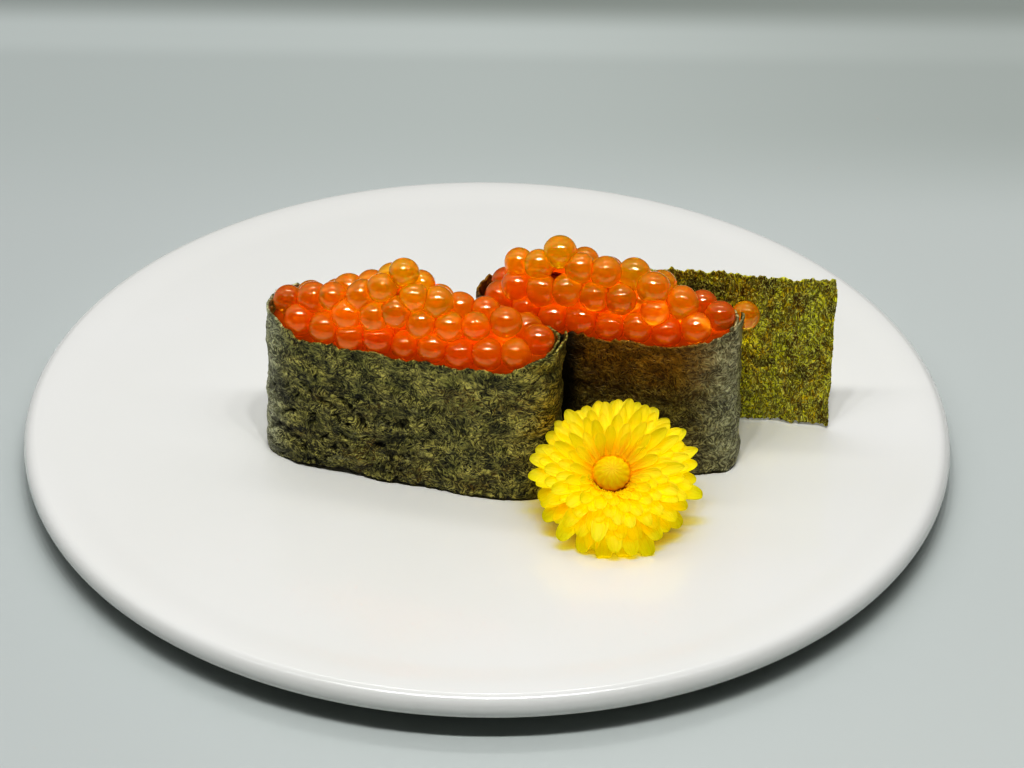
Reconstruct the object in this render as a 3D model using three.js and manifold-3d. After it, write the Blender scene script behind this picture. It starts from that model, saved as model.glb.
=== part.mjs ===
// Plate of salmon roe: two bites of rice, each wrapped in a strip of nori and heaped with salmon roe,
// with a sheet of toasted nori standing behind them and a yellow chrysanthemum laid in front, on a
// round white plate.
//
// Millimetres, +Z up. The origin is on the table under the middle of the plate. +X runs to the right
// as the plate is served and +Y away from the diner. Heights of the food count from the plate's face.

import * as THREE from 'three';
import { mergeVertices } from 'three/addons/utils/BufferGeometryUtils.js';
import Module from 'manifold-3d';

const wasm = await Module();
wasm.setup();

// Clear gap kept between neighbouring pieces
const GAP = 0.3;

// Plate: a flat disc with a thick round edge, a soft lip and a foot ring
const PLATE_RADIUS = 100;
const PLATE_FACE = 10.5;
const PLATE_LIP = 0.35;
const LIP_INNER_RADIUS = 88;
const LIP_CREST_RADIUS = 95.5;
const EDGE_HALF = 3;
const EDGE_STEPS = 5;
const FOOT_OUTER_RADIUS = 62;
const FOOT_WIDTH = 4;
const UNDERSIDE = 3;
const PLATE_SEGMENTS = 48;

// Salmon roe
const EGG_RADIUS = 3.25;
const EGG_SPACING = 0.9;
const EGG_SINK = 2.1;
const EGG_INSET = EGG_RADIUS + 0.8;
const SCATTER_ROUNDS = 24;
const DRAWS_PER_ROUND = 250;

// Nori is a sheet whose strips are a sixth of its length
const NORI_SHEET = 210;
const STRIP_HEIGHT = NORI_SHEET / 6;
const NORI_THICKNESS = 0.6;
const LAYER_CLEARANCE = 0.15;

// Each bite has a rounded plan, long axis first, and a ridge of roe given by the height of the top
// eggs' centres at stations along that axis
const BITES = [
  {
    name: 'front',
    centre: [-15.8, -16.3],
    turnDegrees: -15.2,
    halfLength: 31.4,
    halfWidth: 9.2,
    squareness: 3.3,
    frontRim: 31.4,
    overlap: 9,
    ridge: [[-31, 34], [-25, 36], [-16, 39.6], [-2, 46.6], [4, 42.5], [9, 39.5], [18, 39.6], [24, 37.5], [31, 33]],
    seed: 11,
  },
  {
    name: 'rear',
    centre: [25.1, -8.3],
    turnDegrees: -13,
    halfLength: 28.1,
    halfWidth: 9.1,
    squareness: 2.6,
    frontRim: 31.9,
    overlap: 7,
    ridge: [[-29, 33], [-24, 37], [-18, 43], [-11, 46.2], [-2, 44.5], [10, 41.6], [17, 38.2], [23, 36], [28, 33]],
    seed: 23,
  },
];
const RICE_TOP = 21;

// Sheet of toasted nori that stands behind the rear bite
const STAND_SHEET = {
  length: 60,
  height: 36.4,
  rightEnd: [73.3, -2.4],
  turnDegrees: -10.7,
  lean: 1.7,
  leanPerLength: -4.6,
};

// Egg that has rolled off the rear bite and clings to the standing sheet
const STRAY_EGG = [54.4, -4.2, 29.8];

// Chrysanthemum: rings of petals round a bud, tipped up against the two bites
const FLOWER = {
  centre: [27.1, -38.5, 11.4],
  tiltDegrees: 33,
  radius: 18.3,
  budRadius: 4.1,
  stemRadius: 1.3,
  stemEnd: -12,
};

const POTTERY = new THREE.MeshStandardMaterial({ color: 0xe9e8e3, roughness: 0.25, metalness: 0 });
const DAMP_NORI = new THREE.MeshStandardMaterial({ color: 0x3a3d2a, roughness: 0.55, metalness: 0 });
const DRY_NORI = new THREE.MeshStandardMaterial({ color: 0x7d7a14, roughness: 0.6, metalness: 0 });
const RICE = new THREE.MeshStandardMaterial({ color: 0xf0ebdc, roughness: 0.5, metalness: 0 });
const ROE = new THREE.MeshStandardMaterial({ color: 0xee6a12, roughness: 0.15, metalness: 0 });
const PETAL = new THREE.MeshStandardMaterial({ color: 0xffe600, roughness: 0.5, metalness: 0 });

function seededRandom(seed) {
  let state = seed;
  return () => {
    state = (state * 1664525 + 1013904223) % 4294967296;
    return state / 4294967296;
  };
}

function smoothstep(low, high, value) {
  return THREE.MathUtils.smoothstep(value, low, high);
}

// Merges the vertices that triangles share and drops triangles that have closed up at a pole
function closedGeometry(source) {
  const bare = source.clone();
  bare.deleteAttribute('normal');
  bare.deleteAttribute('uv');
  const merged = mergeVertices(bare, 1e-4);
  const index = merged.index.array;
  const kept = [];
  for (let i = 0; i < index.length; i += 3) {
    const [a, b, c] = [index[i], index[i + 1], index[i + 2]];
    if (a !== b && b !== c && c !== a) {
      kept.push(a, b, c);
    }
  }
  merged.setIndex(kept);
  return merged;
}

function toManifold(geometry) {
  const closed = closedGeometry(geometry);
  return new wasm.Manifold(new wasm.Mesh({
    numProp: 3,
    vertProperties: new Float32Array(closed.attributes.position.array),
    triVerts: new Uint32Array(closed.index.array),
  }));
}

function toGeometry(manifold) {
  const mesh = manifold.getMesh();
  const geometry = new THREE.BufferGeometry();
  geometry.setAttribute('position', new THREE.BufferAttribute(new Float32Array(mesh.vertProperties), 3));
  geometry.setIndex(Array.from(mesh.triVerts));
  return geometry;
}

// Joins overlapping solids into one body, without loose scraps and sealed hollows
function fuse(geometries) {
  const joined = wasm.Manifold.union(geometries.map(toManifold));
  const bodies = joined.decompose();
  bodies.sort((a, b) => b.volume() - a.volume());
  return toGeometry(bodies[0]);
}

// A thin solid between two faces over a grid of u along and v up. place(u, v) gives a point in the
// middle of the sheet and its unit normal. Both faces are split into triangles alike.
function sheetGeometry(columns, rows, thickness, place) {
  const positions = [];
  const index = [];
  const faceSize = (columns + 1) * (rows + 1);
  for (const side of [0.5, -0.5]) {
    for (let j = 0; j <= rows; j += 1) {
      for (let i = 0; i <= columns; i += 1) {
        const { point, normal } = place(i / columns, j / rows);
        const corner = point.clone().addScaledVector(normal, side * thickness);
        positions.push(corner.x, corner.y, corner.z);
      }
    }
  }
  const at = (i, j) => j * (columns + 1) + i;
  for (let j = 0; j < rows; j += 1) {
    for (let i = 0; i < columns; i += 1) {
      const [a, b, c, d] = [at(i, j), at(i + 1, j), at(i + 1, j + 1), at(i, j + 1)];
      index.push(a, b, c, a, c, d);
      index.push(a + faceSize, c + faceSize, b + faceSize, a + faceSize, d + faceSize, c + faceSize);
    }
  }
  const border = [];
  for (let i = 0; i < columns; i += 1) border.push(at(i, 0));
  for (let j = 0; j < rows; j += 1) border.push(at(columns, j));
  for (let i = columns; i > 0; i -= 1) border.push(at(i, rows));
  for (let j = rows; j > 0; j -= 1) border.push(at(0, j));
  border.forEach((a, k) => {
    const b = border[(k + 1) % border.length];
    index.push(a, a + faceSize, b + faceSize, a, b + faceSize, b);
  });
  const geometry = new THREE.BufferGeometry();
  geometry.setAttribute('position', new THREE.Float32BufferAttribute(positions, 3));
  geometry.setIndex(index);
  return geometry;
}

// Plan outline of a bite: a superellipse, counterclockwise from the right end of its long axis
class BiteOutline extends THREE.Curve {
  constructor(bite, inset) {
    super();
    this.a = bite.halfLength - inset;
    this.b = bite.halfWidth - inset;
    this.power = 2 / bite.squareness;
    this.arcLengthDivisions = 720;
  }

  getPoint(t) {
    const c = Math.cos(2 * Math.PI * t);
    const s = Math.sin(2 * Math.PI * t);
    return new THREE.Vector3(
      this.a * Math.sign(c) * Math.abs(c) ** this.power,
      this.b * Math.sign(s) * Math.abs(s) ** this.power,
      0,
    );
  }
}

// Height of the nori's upper edge: level at the ends and back, sagging along the front
function rimHeight(bite, x, y) {
  const towardsFront = smoothstep(0, 0.8, -y / bite.halfWidth);
  const awayFromEnds = 1 - smoothstep(0.62, 1, Math.abs(x) / bite.halfLength);
  const sag = (STRIP_HEIGHT - bite.frontRim) * towardsFront * awayFromEnds;
  return STRIP_HEIGHT - sag + 0.35 * Math.sin(0.55 * x + bite.seed);
}

// Height of the nori's lower edge, lifted here and there off the plate
function hemHeight(bite, x) {
  return GAP + 0.1 + 0.3 * (1 + Math.sin(0.31 * x + 0.7 * bite.seed));
}

// Height of the eggs' centres on top of the heap: a ridge along the long axis that falls to the rim
function heapHeight(bite, x, y) {
  const stations = bite.ridge;
  let k = 0;
  while (k < stations.length - 2 && x > stations[k + 1][0]) k += 1;
  const [x0, z0] = stations[k];
  const [x1, z1] = stations[k + 1];
  const ridge = z0 + (z1 - z0) * smoothstep(x0, x1, x);
  const edge = rimHeight(bite, x, y) + 0.2;
  const along = Math.min(1, Math.abs(x) / (bite.halfLength - EGG_INSET));
  const reach = (bite.halfWidth - EGG_INSET) * (1 - along ** bite.squareness) ** (1 / bite.squareness);
  const across = Math.min(1, Math.abs(y) / Math.max(reach, 0.5));
  return edge + Math.max(0, ridge - edge) * (1 - across ** 2) ** 0.8;
}

// Whether an egg's centre at x and y leaves the egg clear of the nori
function insideWrap(bite, x, y) {
  const alongReach = Math.abs(x / (bite.halfLength - EGG_INSET)) ** bite.squareness;
  const acrossReach = Math.abs(y / (bite.halfWidth - EGG_INSET)) ** bite.squareness;
  return alongReach + acrossReach <= 1;
}

// Sets a ring of eggs along the nori, scatters more over the heap by a seeded draw, and lets them push
// each other apart between draws
function eggCentres(bite) {
  const random = seededRandom(bite.seed);
  const apart = 2 * EGG_RADIUS * EGG_SPACING;
  const onHeap = (x, y) => new THREE.Vector3(x, y, heapHeight(bite, x, y));
  const rimOutline = new BiteOutline(bite, EGG_INSET);
  const rimCount = Math.floor(rimOutline.getLength() / apart);
  const rimPoints = rimOutline.getSpacedPoints(rimCount).slice(1);
  const centres = rimPoints.map((point) => onHeap(0.995 * point.x, 0.995 * point.y));
  for (let round = 0; round < SCATTER_ROUNDS; round += 1) {
    for (let draw = 0; draw < DRAWS_PER_ROUND; draw += 1) {
      const x = (2 * random() - 1) * bite.halfLength;
      const y = (2 * random() - 1) * bite.halfWidth;
      const egg = onHeap(x, y);
      const clear = centres.every((other) => other.distanceTo(egg) > 0.84 * apart);
      if (clear && insideWrap(bite, x, y)) {
        centres.push(egg);
      }
    }
    for (const egg of centres) {
      const push = new THREE.Vector3();
      for (const other of centres) {
        const away = egg.clone().sub(other);
        const distance = away.length();
        if (distance > 0 && distance < apart) {
          push.addScaledVector(away, 0.3 * (apart - distance) / distance);
        }
      }
      const x = egg.x + push.x;
      const y = egg.y + push.y;
      if (insideWrap(bite, x, y)) {
        egg.copy(onHeap(x, y));
      }
    }
  }
  return centres;
}

// A solid that fills a bite's plan up to a height given over the plan. The lathe's rings run from the
// middle of the floor out to the wall and back over the top.
function heapCore(bite, inset, floor, wallTop, topHeight, domeRings, segments) {
  const profile = [new THREE.Vector2(0, 0), new THREE.Vector2(1, 0), new THREE.Vector2(1, 1)];
  for (let ring = 1; ring <= domeRings; ring += 1) {
    profile.push(new THREE.Vector2(1 - ring / domeRings, 1 + ring));
  }
  const geometry = new THREE.LatheGeometry(profile, segments);
  const outline = new BiteOutline(bite, inset);
  const position = geometry.attributes.position;
  for (let i = 0; i < position.count; i += 1) {
    const reach = Math.hypot(position.getX(i), position.getZ(i));
    const turn = Math.atan2(position.getX(i), position.getZ(i)) / (2 * Math.PI);
    const rim = outline.getPointAt((turn + 1) % 1);
    const x = reach * rim.x;
    const y = reach * rim.y;
    const level = Math.round(position.getY(i));
    let z = floor;
    if (level === 1) z = wallTop(x, y);
    if (level > 1) z = topHeight(x, y);
    position.setXYZ(i, x, y, z);
  }
  return geometry;
}

function riceGeometry(bite) {
  const grains = (x, y) => 0.35 * Math.sin(2.1 * x) * Math.cos(2.3 * y);
  const inset = NORI_THICKNESS + GAP;
  const top = (x, y) => RICE_TOP + grains(x, y);
  return closedGeometry(heapCore(bite, inset, GAP, top, top, 2, 36));
}

function roeGeometry(bite) {
  const inset = NORI_THICKNESS + GAP;
  const wallTop = (x, y) => rimHeight(bite, x, y) - EGG_RADIUS;
  const topHeight = (x, y) => Math.max(wallTop(x, y), heapHeight(bite, x, y) - EGG_SINK);
  const core = heapCore(bite, inset, RICE_TOP + 1 + GAP, wallTop, topHeight, 3, 26);
  const eggs = eggCentres(bite).map((centre) => {
    const egg = new THREE.SphereGeometry(EGG_RADIUS, 7, 5);
    egg.rotateX(centre.x);
    egg.rotateZ(centre.y);
    egg.translate(centre.x, centre.y, centre.z);
    return egg;
  });
  return fuse([core, ...eggs]);
}

// The strip of nori round a bite. It starts at the right end, goes once round the bite and its loose
// end lies over its start.
function wrapGeometry(bite) {
  const outline = new BiteOutline(bite, NORI_THICKNESS / 2);
  const around = outline.getLength();
  const length = around + bite.overlap;
  const overlapTurn = bite.overlap / around;
  return sheetGeometry(44, 2, NORI_THICKNESS, (u, v) => {
    const turn = u * length / around - 0.5 * overlapTurn;
    const point = outline.getPointAt((turn + 1) % 1);
    const tangent = outline.getTangentAt((turn + 1) % 1);
    const normal = new THREE.Vector3(tangent.y, -tangent.x, 0);
    const outerLayer = smoothstep(0.8, 0.97, turn + 0.5 * overlapTurn);
    const rim = rimHeight(bite, point.x, point.y);
    const hem = hemHeight(bite, point.x);
    const flare = 0.5 * (1 - v) ** 2;
    point.addScaledVector(normal, outerLayer * (NORI_THICKNESS + LAYER_CLEARANCE) + flare);
    point.z = hem + (rim - hem) * v;
    return { point, normal };
  });
}

function standSheetGeometry() {
  const { length, height, rightEnd, turnDegrees, lean, leanPerLength } = STAND_SHEET;
  const turn = THREE.MathUtils.degToRad(turnDegrees);
  const along = new THREE.Vector3(-Math.cos(turn), -Math.sin(turn), 0);
  const normal = new THREE.Vector3(-along.y, along.x, 0).negate();
  return sheetGeometry(20, 5, NORI_THICKNESS, (u, v) => {
    const s = u * length;
    const ripple = 0.45 * Math.sin(0.21 * s + 2.2 * v) + 0.2 * Math.sin(0.6 * s);
    const ragged = 0.4 * Math.sin(1.3 * s) + 0.25 * Math.sin(2.9 * s);
    const hem = GAP + 0.4 + 0.5 * ragged;
    const point = new THREE.Vector3(rightEnd[0], rightEnd[1], hem + (height - hem + ragged) * v);
    point.addScaledVector(along, s);
    point.addScaledVector(normal, (lean + leanPerLength * u) * v + ripple);
    return { point, normal };
  });
}

// Profile of the plate, from the middle of its face over the edge to the middle of its underside
function plateGeometry() {
  const edgeCentre = PLATE_FACE + PLATE_LIP - EDGE_HALF;
  const profile = [
    new THREE.Vector2(0, PLATE_FACE),
    new THREE.Vector2(LIP_INNER_RADIUS, PLATE_FACE),
    new THREE.Vector2(LIP_CREST_RADIUS, PLATE_FACE + PLATE_LIP),
  ];
  for (let step = 0; step <= EDGE_STEPS; step += 1) {
    const turn = Math.PI * (0.4 - 0.9 * step / EDGE_STEPS);
    const x = PLATE_RADIUS - EDGE_HALF + EDGE_HALF * Math.cos(turn);
    profile.push(new THREE.Vector2(x, edgeCentre + EDGE_HALF * Math.sin(turn)));
  }
  profile.push(
    new THREE.Vector2(FOOT_OUTER_RADIUS + 2, UNDERSIDE + 0.4),
    new THREE.Vector2(FOOT_OUTER_RADIUS, 0),
    new THREE.Vector2(FOOT_OUTER_RADIUS - FOOT_WIDTH, 0),
    new THREE.Vector2(FOOT_OUTER_RADIUS - FOOT_WIDTH - 1.5, UNDERSIDE),
    new THREE.Vector2(0, UNDERSIDE),
  );
  const geometry = new THREE.LatheGeometry(profile.reverse(), PLATE_SEGMENTS);
  geometry.rotateX(Math.PI / 2);
  return closedGeometry(geometry);
}

// One strap-shaped petal along +X that rises or droops as it goes out
function petalGeometry(start, reach, width, rise, curl) {
  const petal = new THREE.SphereGeometry(1, 4, 4);
  const position = petal.attributes.position;
  for (let i = 0; i < position.count; i += 1) {
    const along = (1 - position.getY(i)) / 2;
    const breadth = width * (0.4 + 0.7 * along) / 2;
    const x = start + (reach - start) * along;
    const y = position.getX(i) * breadth;
    const z = 0.75 * position.getZ(i) + rise * along + curl * along ** 2;
    position.setXYZ(i, x, y, z);
  }
  return petal;
}

// Rings of petals, from the outermost inwards. Each ring has its petals' count, how far they reach,
// their width, the height of their ring and how much they rise and curl.
function flowerGeometry() {
  const r = FLOWER.radius;
  const rings = [
    { count: 17, reach: r, width: 5.6, height: 0, rise: -0.6, curl: 0 },
    { count: 14, reach: 0.88 * r, width: 5.4, height: 1.5, rise: 0.6, curl: 0 },
    { count: 11, reach: 0.72 * r, width: 5.0, height: 3.0, rise: 1.0, curl: 0.4 },
    { count: 8, reach: 0.54 * r, width: 4.6, height: 4.3, rise: 1.2, curl: 0.6 },
  ];
  const random = seededRandom(5);
  const pieces = [];
  rings.forEach((ring, k) => {
    for (let i = 0; i < ring.count; i += 1) {
      const jitter = random() - 0.5;
      const petal = petalGeometry(2, ring.reach * (1 + 0.05 * jitter), ring.width, ring.rise, ring.curl);
      petal.translate(0, 0, ring.height + 0.5 * jitter);
      petal.rotateZ(2 * Math.PI * (i + 0.5 * (k % 2) + 0.2 * jitter) / ring.count);
      pieces.push(petal);
    }
  });
  const stemCupAndBud = new THREE.LatheGeometry([
    new THREE.Vector2(0, FLOWER.stemEnd),
    new THREE.Vector2(FLOWER.stemRadius, FLOWER.stemEnd),
    new THREE.Vector2(FLOWER.stemRadius, -4.6),
    new THREE.Vector2(4.6, -2.8),
    new THREE.Vector2(7.5, 1),
    new THREE.Vector2(FLOWER.budRadius, 5.2),
    new THREE.Vector2(FLOWER.budRadius * 0.9, 7.6),
    new THREE.Vector2(FLOWER.budRadius * 0.45, 8.9),
    new THREE.Vector2(0, 9.2),
  ], 14);
  stemCupAndBud.rotateX(Math.PI / 2);
  pieces.push(stemCupAndBud);
  const geometry = fuse(pieces);
  geometry.rotateX(THREE.MathUtils.degToRad(FLOWER.tiltDegrees));
  geometry.translate(...FLOWER.centre);
  return geometry;
}

function strayEggGeometry() {
  const egg = new THREE.IcosahedronGeometry(EGG_RADIUS, 1);
  egg.translate(...STRAY_EGG);
  return closedGeometry(egg);
}

function addMesh(parent, name, geometry, material) {
  const mesh = new THREE.Mesh(geometry, material);
  mesh.name = name;
  parent.add(mesh);
}

function buildBite(parent, bite) {
  const group = new THREE.Group();
  group.position.set(bite.centre[0], bite.centre[1], 0);
  group.rotation.z = THREE.MathUtils.degToRad(bite.turnDegrees);
  addMesh(group, `rice_${bite.name}`, riceGeometry(bite), RICE);
  addMesh(group, `nori_wrap_${bite.name}`, wrapGeometry(bite), DAMP_NORI);
  addMesh(group, `roe_${bite.name}`, roeGeometry(bite), ROE);
  parent.add(group);
}

const model = new THREE.Group();
addMesh(model, 'plate', plateGeometry(), POTTERY);
const food = new THREE.Group();
food.position.z = PLATE_FACE;
BITES.forEach((bite) => buildBite(food, bite));
addMesh(food, 'nori_sheet', standSheetGeometry(), DRY_NORI);
addMesh(food, 'stray_egg', strayEggGeometry(), ROE);
addMesh(food, 'chrysanthemum', flowerGeometry(), PETAL);
model.add(food);
model.updateMatrixWorld(true);

export default model;
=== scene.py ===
"""Looks of the plate of salmon roe.

A white glazed plate holds two bites of rice, each wrapped in damp nori and heaped with salmon roe. A
sheet of toasted nori stands behind them, with a loose egg beside it, and a yellow chrysanthemum leans
towards them in front.

Sizes are in millimetres, as in the part's source, and become metres where a mesh is made. +X runs to
the right as the plate is served and +Y away from the diner. Heights of the food count from the plate's
face.
"""

import logging
import math
from dataclasses import dataclass, field
from enum import Enum

import bpy
import numpy as np
from mathutils import Matrix


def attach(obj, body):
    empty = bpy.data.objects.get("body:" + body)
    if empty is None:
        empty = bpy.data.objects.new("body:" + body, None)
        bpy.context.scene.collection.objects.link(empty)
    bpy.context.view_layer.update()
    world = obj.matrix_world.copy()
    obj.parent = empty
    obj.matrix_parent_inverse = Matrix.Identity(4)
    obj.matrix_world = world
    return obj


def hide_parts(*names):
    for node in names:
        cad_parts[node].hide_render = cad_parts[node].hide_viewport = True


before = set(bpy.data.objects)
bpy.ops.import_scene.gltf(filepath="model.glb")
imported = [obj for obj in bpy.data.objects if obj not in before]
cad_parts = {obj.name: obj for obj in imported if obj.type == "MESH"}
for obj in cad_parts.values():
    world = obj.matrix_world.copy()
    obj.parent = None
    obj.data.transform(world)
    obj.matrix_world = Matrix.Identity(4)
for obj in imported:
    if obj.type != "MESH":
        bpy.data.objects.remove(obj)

LOG = logging.getLogger("salmon_roe")
Array = np.ndarray
Socket = bpy.types.NodeSocket
Pair = tuple[float, float]
Triple = tuple[float, float, float]
Colour = tuple[float, float, float, float]

# Metres in a millimetre
MM = 0.001
# The part's only body
BODY = "root"
# Height of the plate's face above the table
PLATE_FACE = 10.5
# Height of the nori round a bite
STRIP_HEIGHT = 35.0
# What neighbouring pieces keep clear
GAP = 0.3
EGG_RADIUS = 3.25
# How far inside the plan of a bite its outermost eggs stand
EGG_INSET = EGG_RADIUS + 0.8
# Height where the rice ends
RICE_TOP = 21.0
# Turn from one petal to the next
GOLDEN_TURN = math.pi * (3 - math.sqrt(5))


def srgb(red: int, green: int, blue: int) -> Colour:
    """Turns a screen colour into the linear one that shaders take.

    Args:
        red: Red from 0 to 255.
        green: Green from 0 to 255.
        blue: Blue from 0 to 255.

    Returns:
        Linear red, green and blue, and an alpha of 1.
    """
    shares = np.array([red, green, blue]) / 255
    linear = np.where(shares <= 0.04045, shares / 12.92, ((shares + 0.055) / 1.055) ** 2.4)
    return (float(linear[0]), float(linear[1]), float(linear[2]), 1.0)


def smoothstep(low: Array | float, high: Array | float, value: Array | float) -> Array:
    """Rises from 0 at low to 1 at high along the curve 3x squared less 2x cubed."""
    share = np.clip((value - low) / (high - low), 0, 1)
    return share * share * (3 - 2 * share)


def between(low: Array | float, high: Array | float, share: Array | float) -> Array | float:
    """Goes in a straight line from low at share 0 to high at share 1."""
    return low + (high - low) * share


def coords(*parts: Array | float) -> Array:
    """Points whose coordinates are the parts, broadcast to one shape, along a new last axis."""
    return np.stack(np.broadcast_arrays(*parts), axis=-1)


@dataclass(frozen=True)
class Ripples:
    """Smooth random relief of one size: the sum of plane waves with random directions and phases.

    Attributes:
        height: Its spread.
        length: Usual distance between crests, the same all round or one for each coordinate.
        seed: Seed of its draw, counted from the seed of what it lies on.
        count: How many waves are summed.
    """

    height: float
    length: float | Pair
    seed: int
    count: int = 14

    def over(self, places: Array, seed: int = 0) -> Array:
        """Adds up the waves.

        Args:
            places: Points, with their coordinates along the last axis.
            seed: Seed of what the relief lies on.

        Returns:
            The height at each point.
        """
        draw = np.random.default_rng(seed + self.seed)
        directions = draw.normal(size=(places.shape[-1], self.count))
        directions /= np.linalg.norm(directions, axis=0)
        directions *= 2 * np.pi * draw.uniform(0.6, 1.5, self.count)
        phases = draw.uniform(0, 2 * np.pi, self.count)
        waves = np.sin(places / np.array(self.length) @ directions + phases)
        return self.height * waves.sum(-1) * math.sqrt(2 / self.count)


def relief(places: Array, ripples: tuple[Ripples, ...], seed: int = 0) -> Array:
    """Sum of ripples of several sizes at the places."""
    return sum(ripple.over(places, seed) for ripple in ripples)


class Axis(Enum):
    """The axes that shells are turned about. The value is how far the matrix for Z is rolled."""

    Z = 0
    X = 1


def turn_about(axis: Axis, angle: float) -> Array:
    """Matrix of a turn.

    Args:
        axis: What it turns about.
        angle: How far, in radians.

    Returns:
        The 3 by 3 matrix.
    """
    cosine, sine = math.cos(angle), math.sin(angle)
    about_z = np.array([[cosine, -sine, 0], [sine, cosine, 0], [0, 0, 1]])
    return np.roll(about_z, (axis.value, axis.value), (0, 1))


@dataclass
class Shell:
    """Closed surfaces on their way to one mesh.

    Attributes:
        points: Corner points in millimetres, one row each.
        quads: Four corner numbers for each four-sided face.
        triangles: Three corner numbers for each three-sided face.
        shades: Named values from 0 to 1 at the points, which finishes read.
        flat: Place of each point on the unrolled sheet, as the UV map holds it.
    """

    points: Array
    quads: Array
    triangles: Array = field(default_factory=lambda: np.zeros((0, 3), int))
    shades: dict[str, Array] = field(default_factory=dict)
    flat: Array | None = None

    def volume(self) -> float:
        """Signed volume, which is above 0 where the faces point outwards.

        Returns:
            The sum over all triangles of a times the cross product of b and c, over 6.
        """
        corners = np.concatenate([self.triangles, self.quads[:, :3], self.quads[:, [0, 2, 3]]])
        a, b, c = (self.points[corners[:, k]] for k in range(3))
        return float(np.einsum("ij,ij->i", a, np.cross(b, c)).sum() / 6)

    def outwards(self) -> "Shell":
        """Turns every face round if they point inwards.

        Returns:
            The shell itself.
        """
        if self.volume() < 0:
            self.quads = self.quads[:, ::-1]
            self.triangles = self.triangles[:, ::-1]
        return self

    def moved(self, turn: Array, shift: Array) -> "Shell":
        """Turns the points by a 3 by 3 matrix and then shifts them."""
        self.points = self.points @ turn.T + shift
        return self

    def to_object(self, name: str, material: bpy.types.Material) -> bpy.types.Object:
        """Makes a smooth-shaded Blender object, with its place in its mesh.

        Args:
            name: Name of the object.
            material: What covers it.

        Returns:
            The new object, at the origin.
        """
        mesh = bpy.data.meshes.new(name)
        corners = np.concatenate([self.quads.ravel(), self.triangles.ravel()]).astype(np.int32)
        quad_starts = np.arange(len(self.quads)) * 4
        triangle_starts = self.quads.size + np.arange(len(self.triangles)) * 3
        starts = np.concatenate([quad_starts, triangle_starts]).astype(np.int32)
        mesh.vertices.add(len(self.points))
        mesh.vertices.foreach_set("co", (self.points * MM).astype(np.float32).ravel())
        mesh.loops.add(len(corners))
        mesh.loops.foreach_set("vertex_index", corners)
        mesh.polygons.add(len(starts))
        mesh.polygons.foreach_set("loop_start", starts)
        mesh.polygons.foreach_set("use_smooth", np.ones(len(starts), bool))
        mesh.update(calc_edges=True)
        for shade, values in self.shades.items():
            layer = mesh.attributes.new(shade, "FLOAT", "POINT")
            layer.data.foreach_set("value", values.astype(np.float32))
        if self.flat is not None:
            layer = mesh.uv_layers.new(name="flat")
            layer.data.foreach_set("uv", self.flat[corners].astype(np.float32).ravel())
        mesh.validate()
        mesh.materials.append(material)
        made = bpy.data.objects.new(name, mesh)
        bpy.context.scene.collection.objects.link(made)
        return made


def grid_faces(rows: int, columns: int, closed: bool = False, flipped: bool = False) -> Array:
    """Four-sided faces of a grid of points that are numbered row by row.

    Args:
        rows: Number of rows of points.
        columns: Number of points in a row.
        closed: Whether each row's last point meets its first.
        flipped: Whether the faces point the other way.

    Returns:
        Four point numbers for each face.
    """
    across = np.arange(columns if closed else columns - 1)
    row, column = np.meshgrid(np.arange(rows - 1), across, indexing="ij")
    here, after = row * columns + column, row * columns + (column + 1) % columns
    faces = coords(here, after, after + columns, here + columns).reshape(-1, 4)
    return faces[:, ::-1] if flipped else faces


def sheet_shares(rows: int, columns: int) -> tuple[Array, Array]:
    """Shares of the way up a sheet and along it, each from 0 to 1, as rows by columns."""
    return np.meshgrid(np.linspace(0, 1, rows), np.linspace(0, 1, columns), indexing="ij")


def join(shells: list[Shell]) -> Shell:
    """Puts shells side by side into one.

    Args:
        shells: The shells. The shades of the first are kept, and all of them have those.

    Returns:
        The one shell.
    """
    starts = np.cumsum([0] + [len(shell.points) for shell in shells])
    flat = None if shells[0].flat is None else np.concatenate([shell.flat for shell in shells])
    return Shell(
        points=np.concatenate([shell.points for shell in shells]),
        quads=np.concatenate([shell.quads + start for shell, start in zip(shells, starts)]),
        triangles=np.concatenate([shell.triangles + start for shell, start in zip(shells, starts)]),
        shades={key: np.concatenate([shell.shades[key] for shell in shells]) for key in shells[0].shades},
        flat=flat,
    )


def copies(pattern: Shell, points: Array) -> Shell:
    """Repeats a shell's faces over many sets of points.

    Args:
        pattern: The shell whose faces are repeated.
        points: The points of each copy, as copies by points by 3.

    Returns:
        One shell of all the copies.
    """
    count, size, _ = points.shape
    starts = (np.arange(count) * size)[:, None, None]
    return Shell(
        points=points.reshape(-1, 3),
        quads=(pattern.quads[None] + starts).reshape(-1, 4),
        triangles=(pattern.triangles[None] + starts).reshape(-1, 3),
    )


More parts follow.
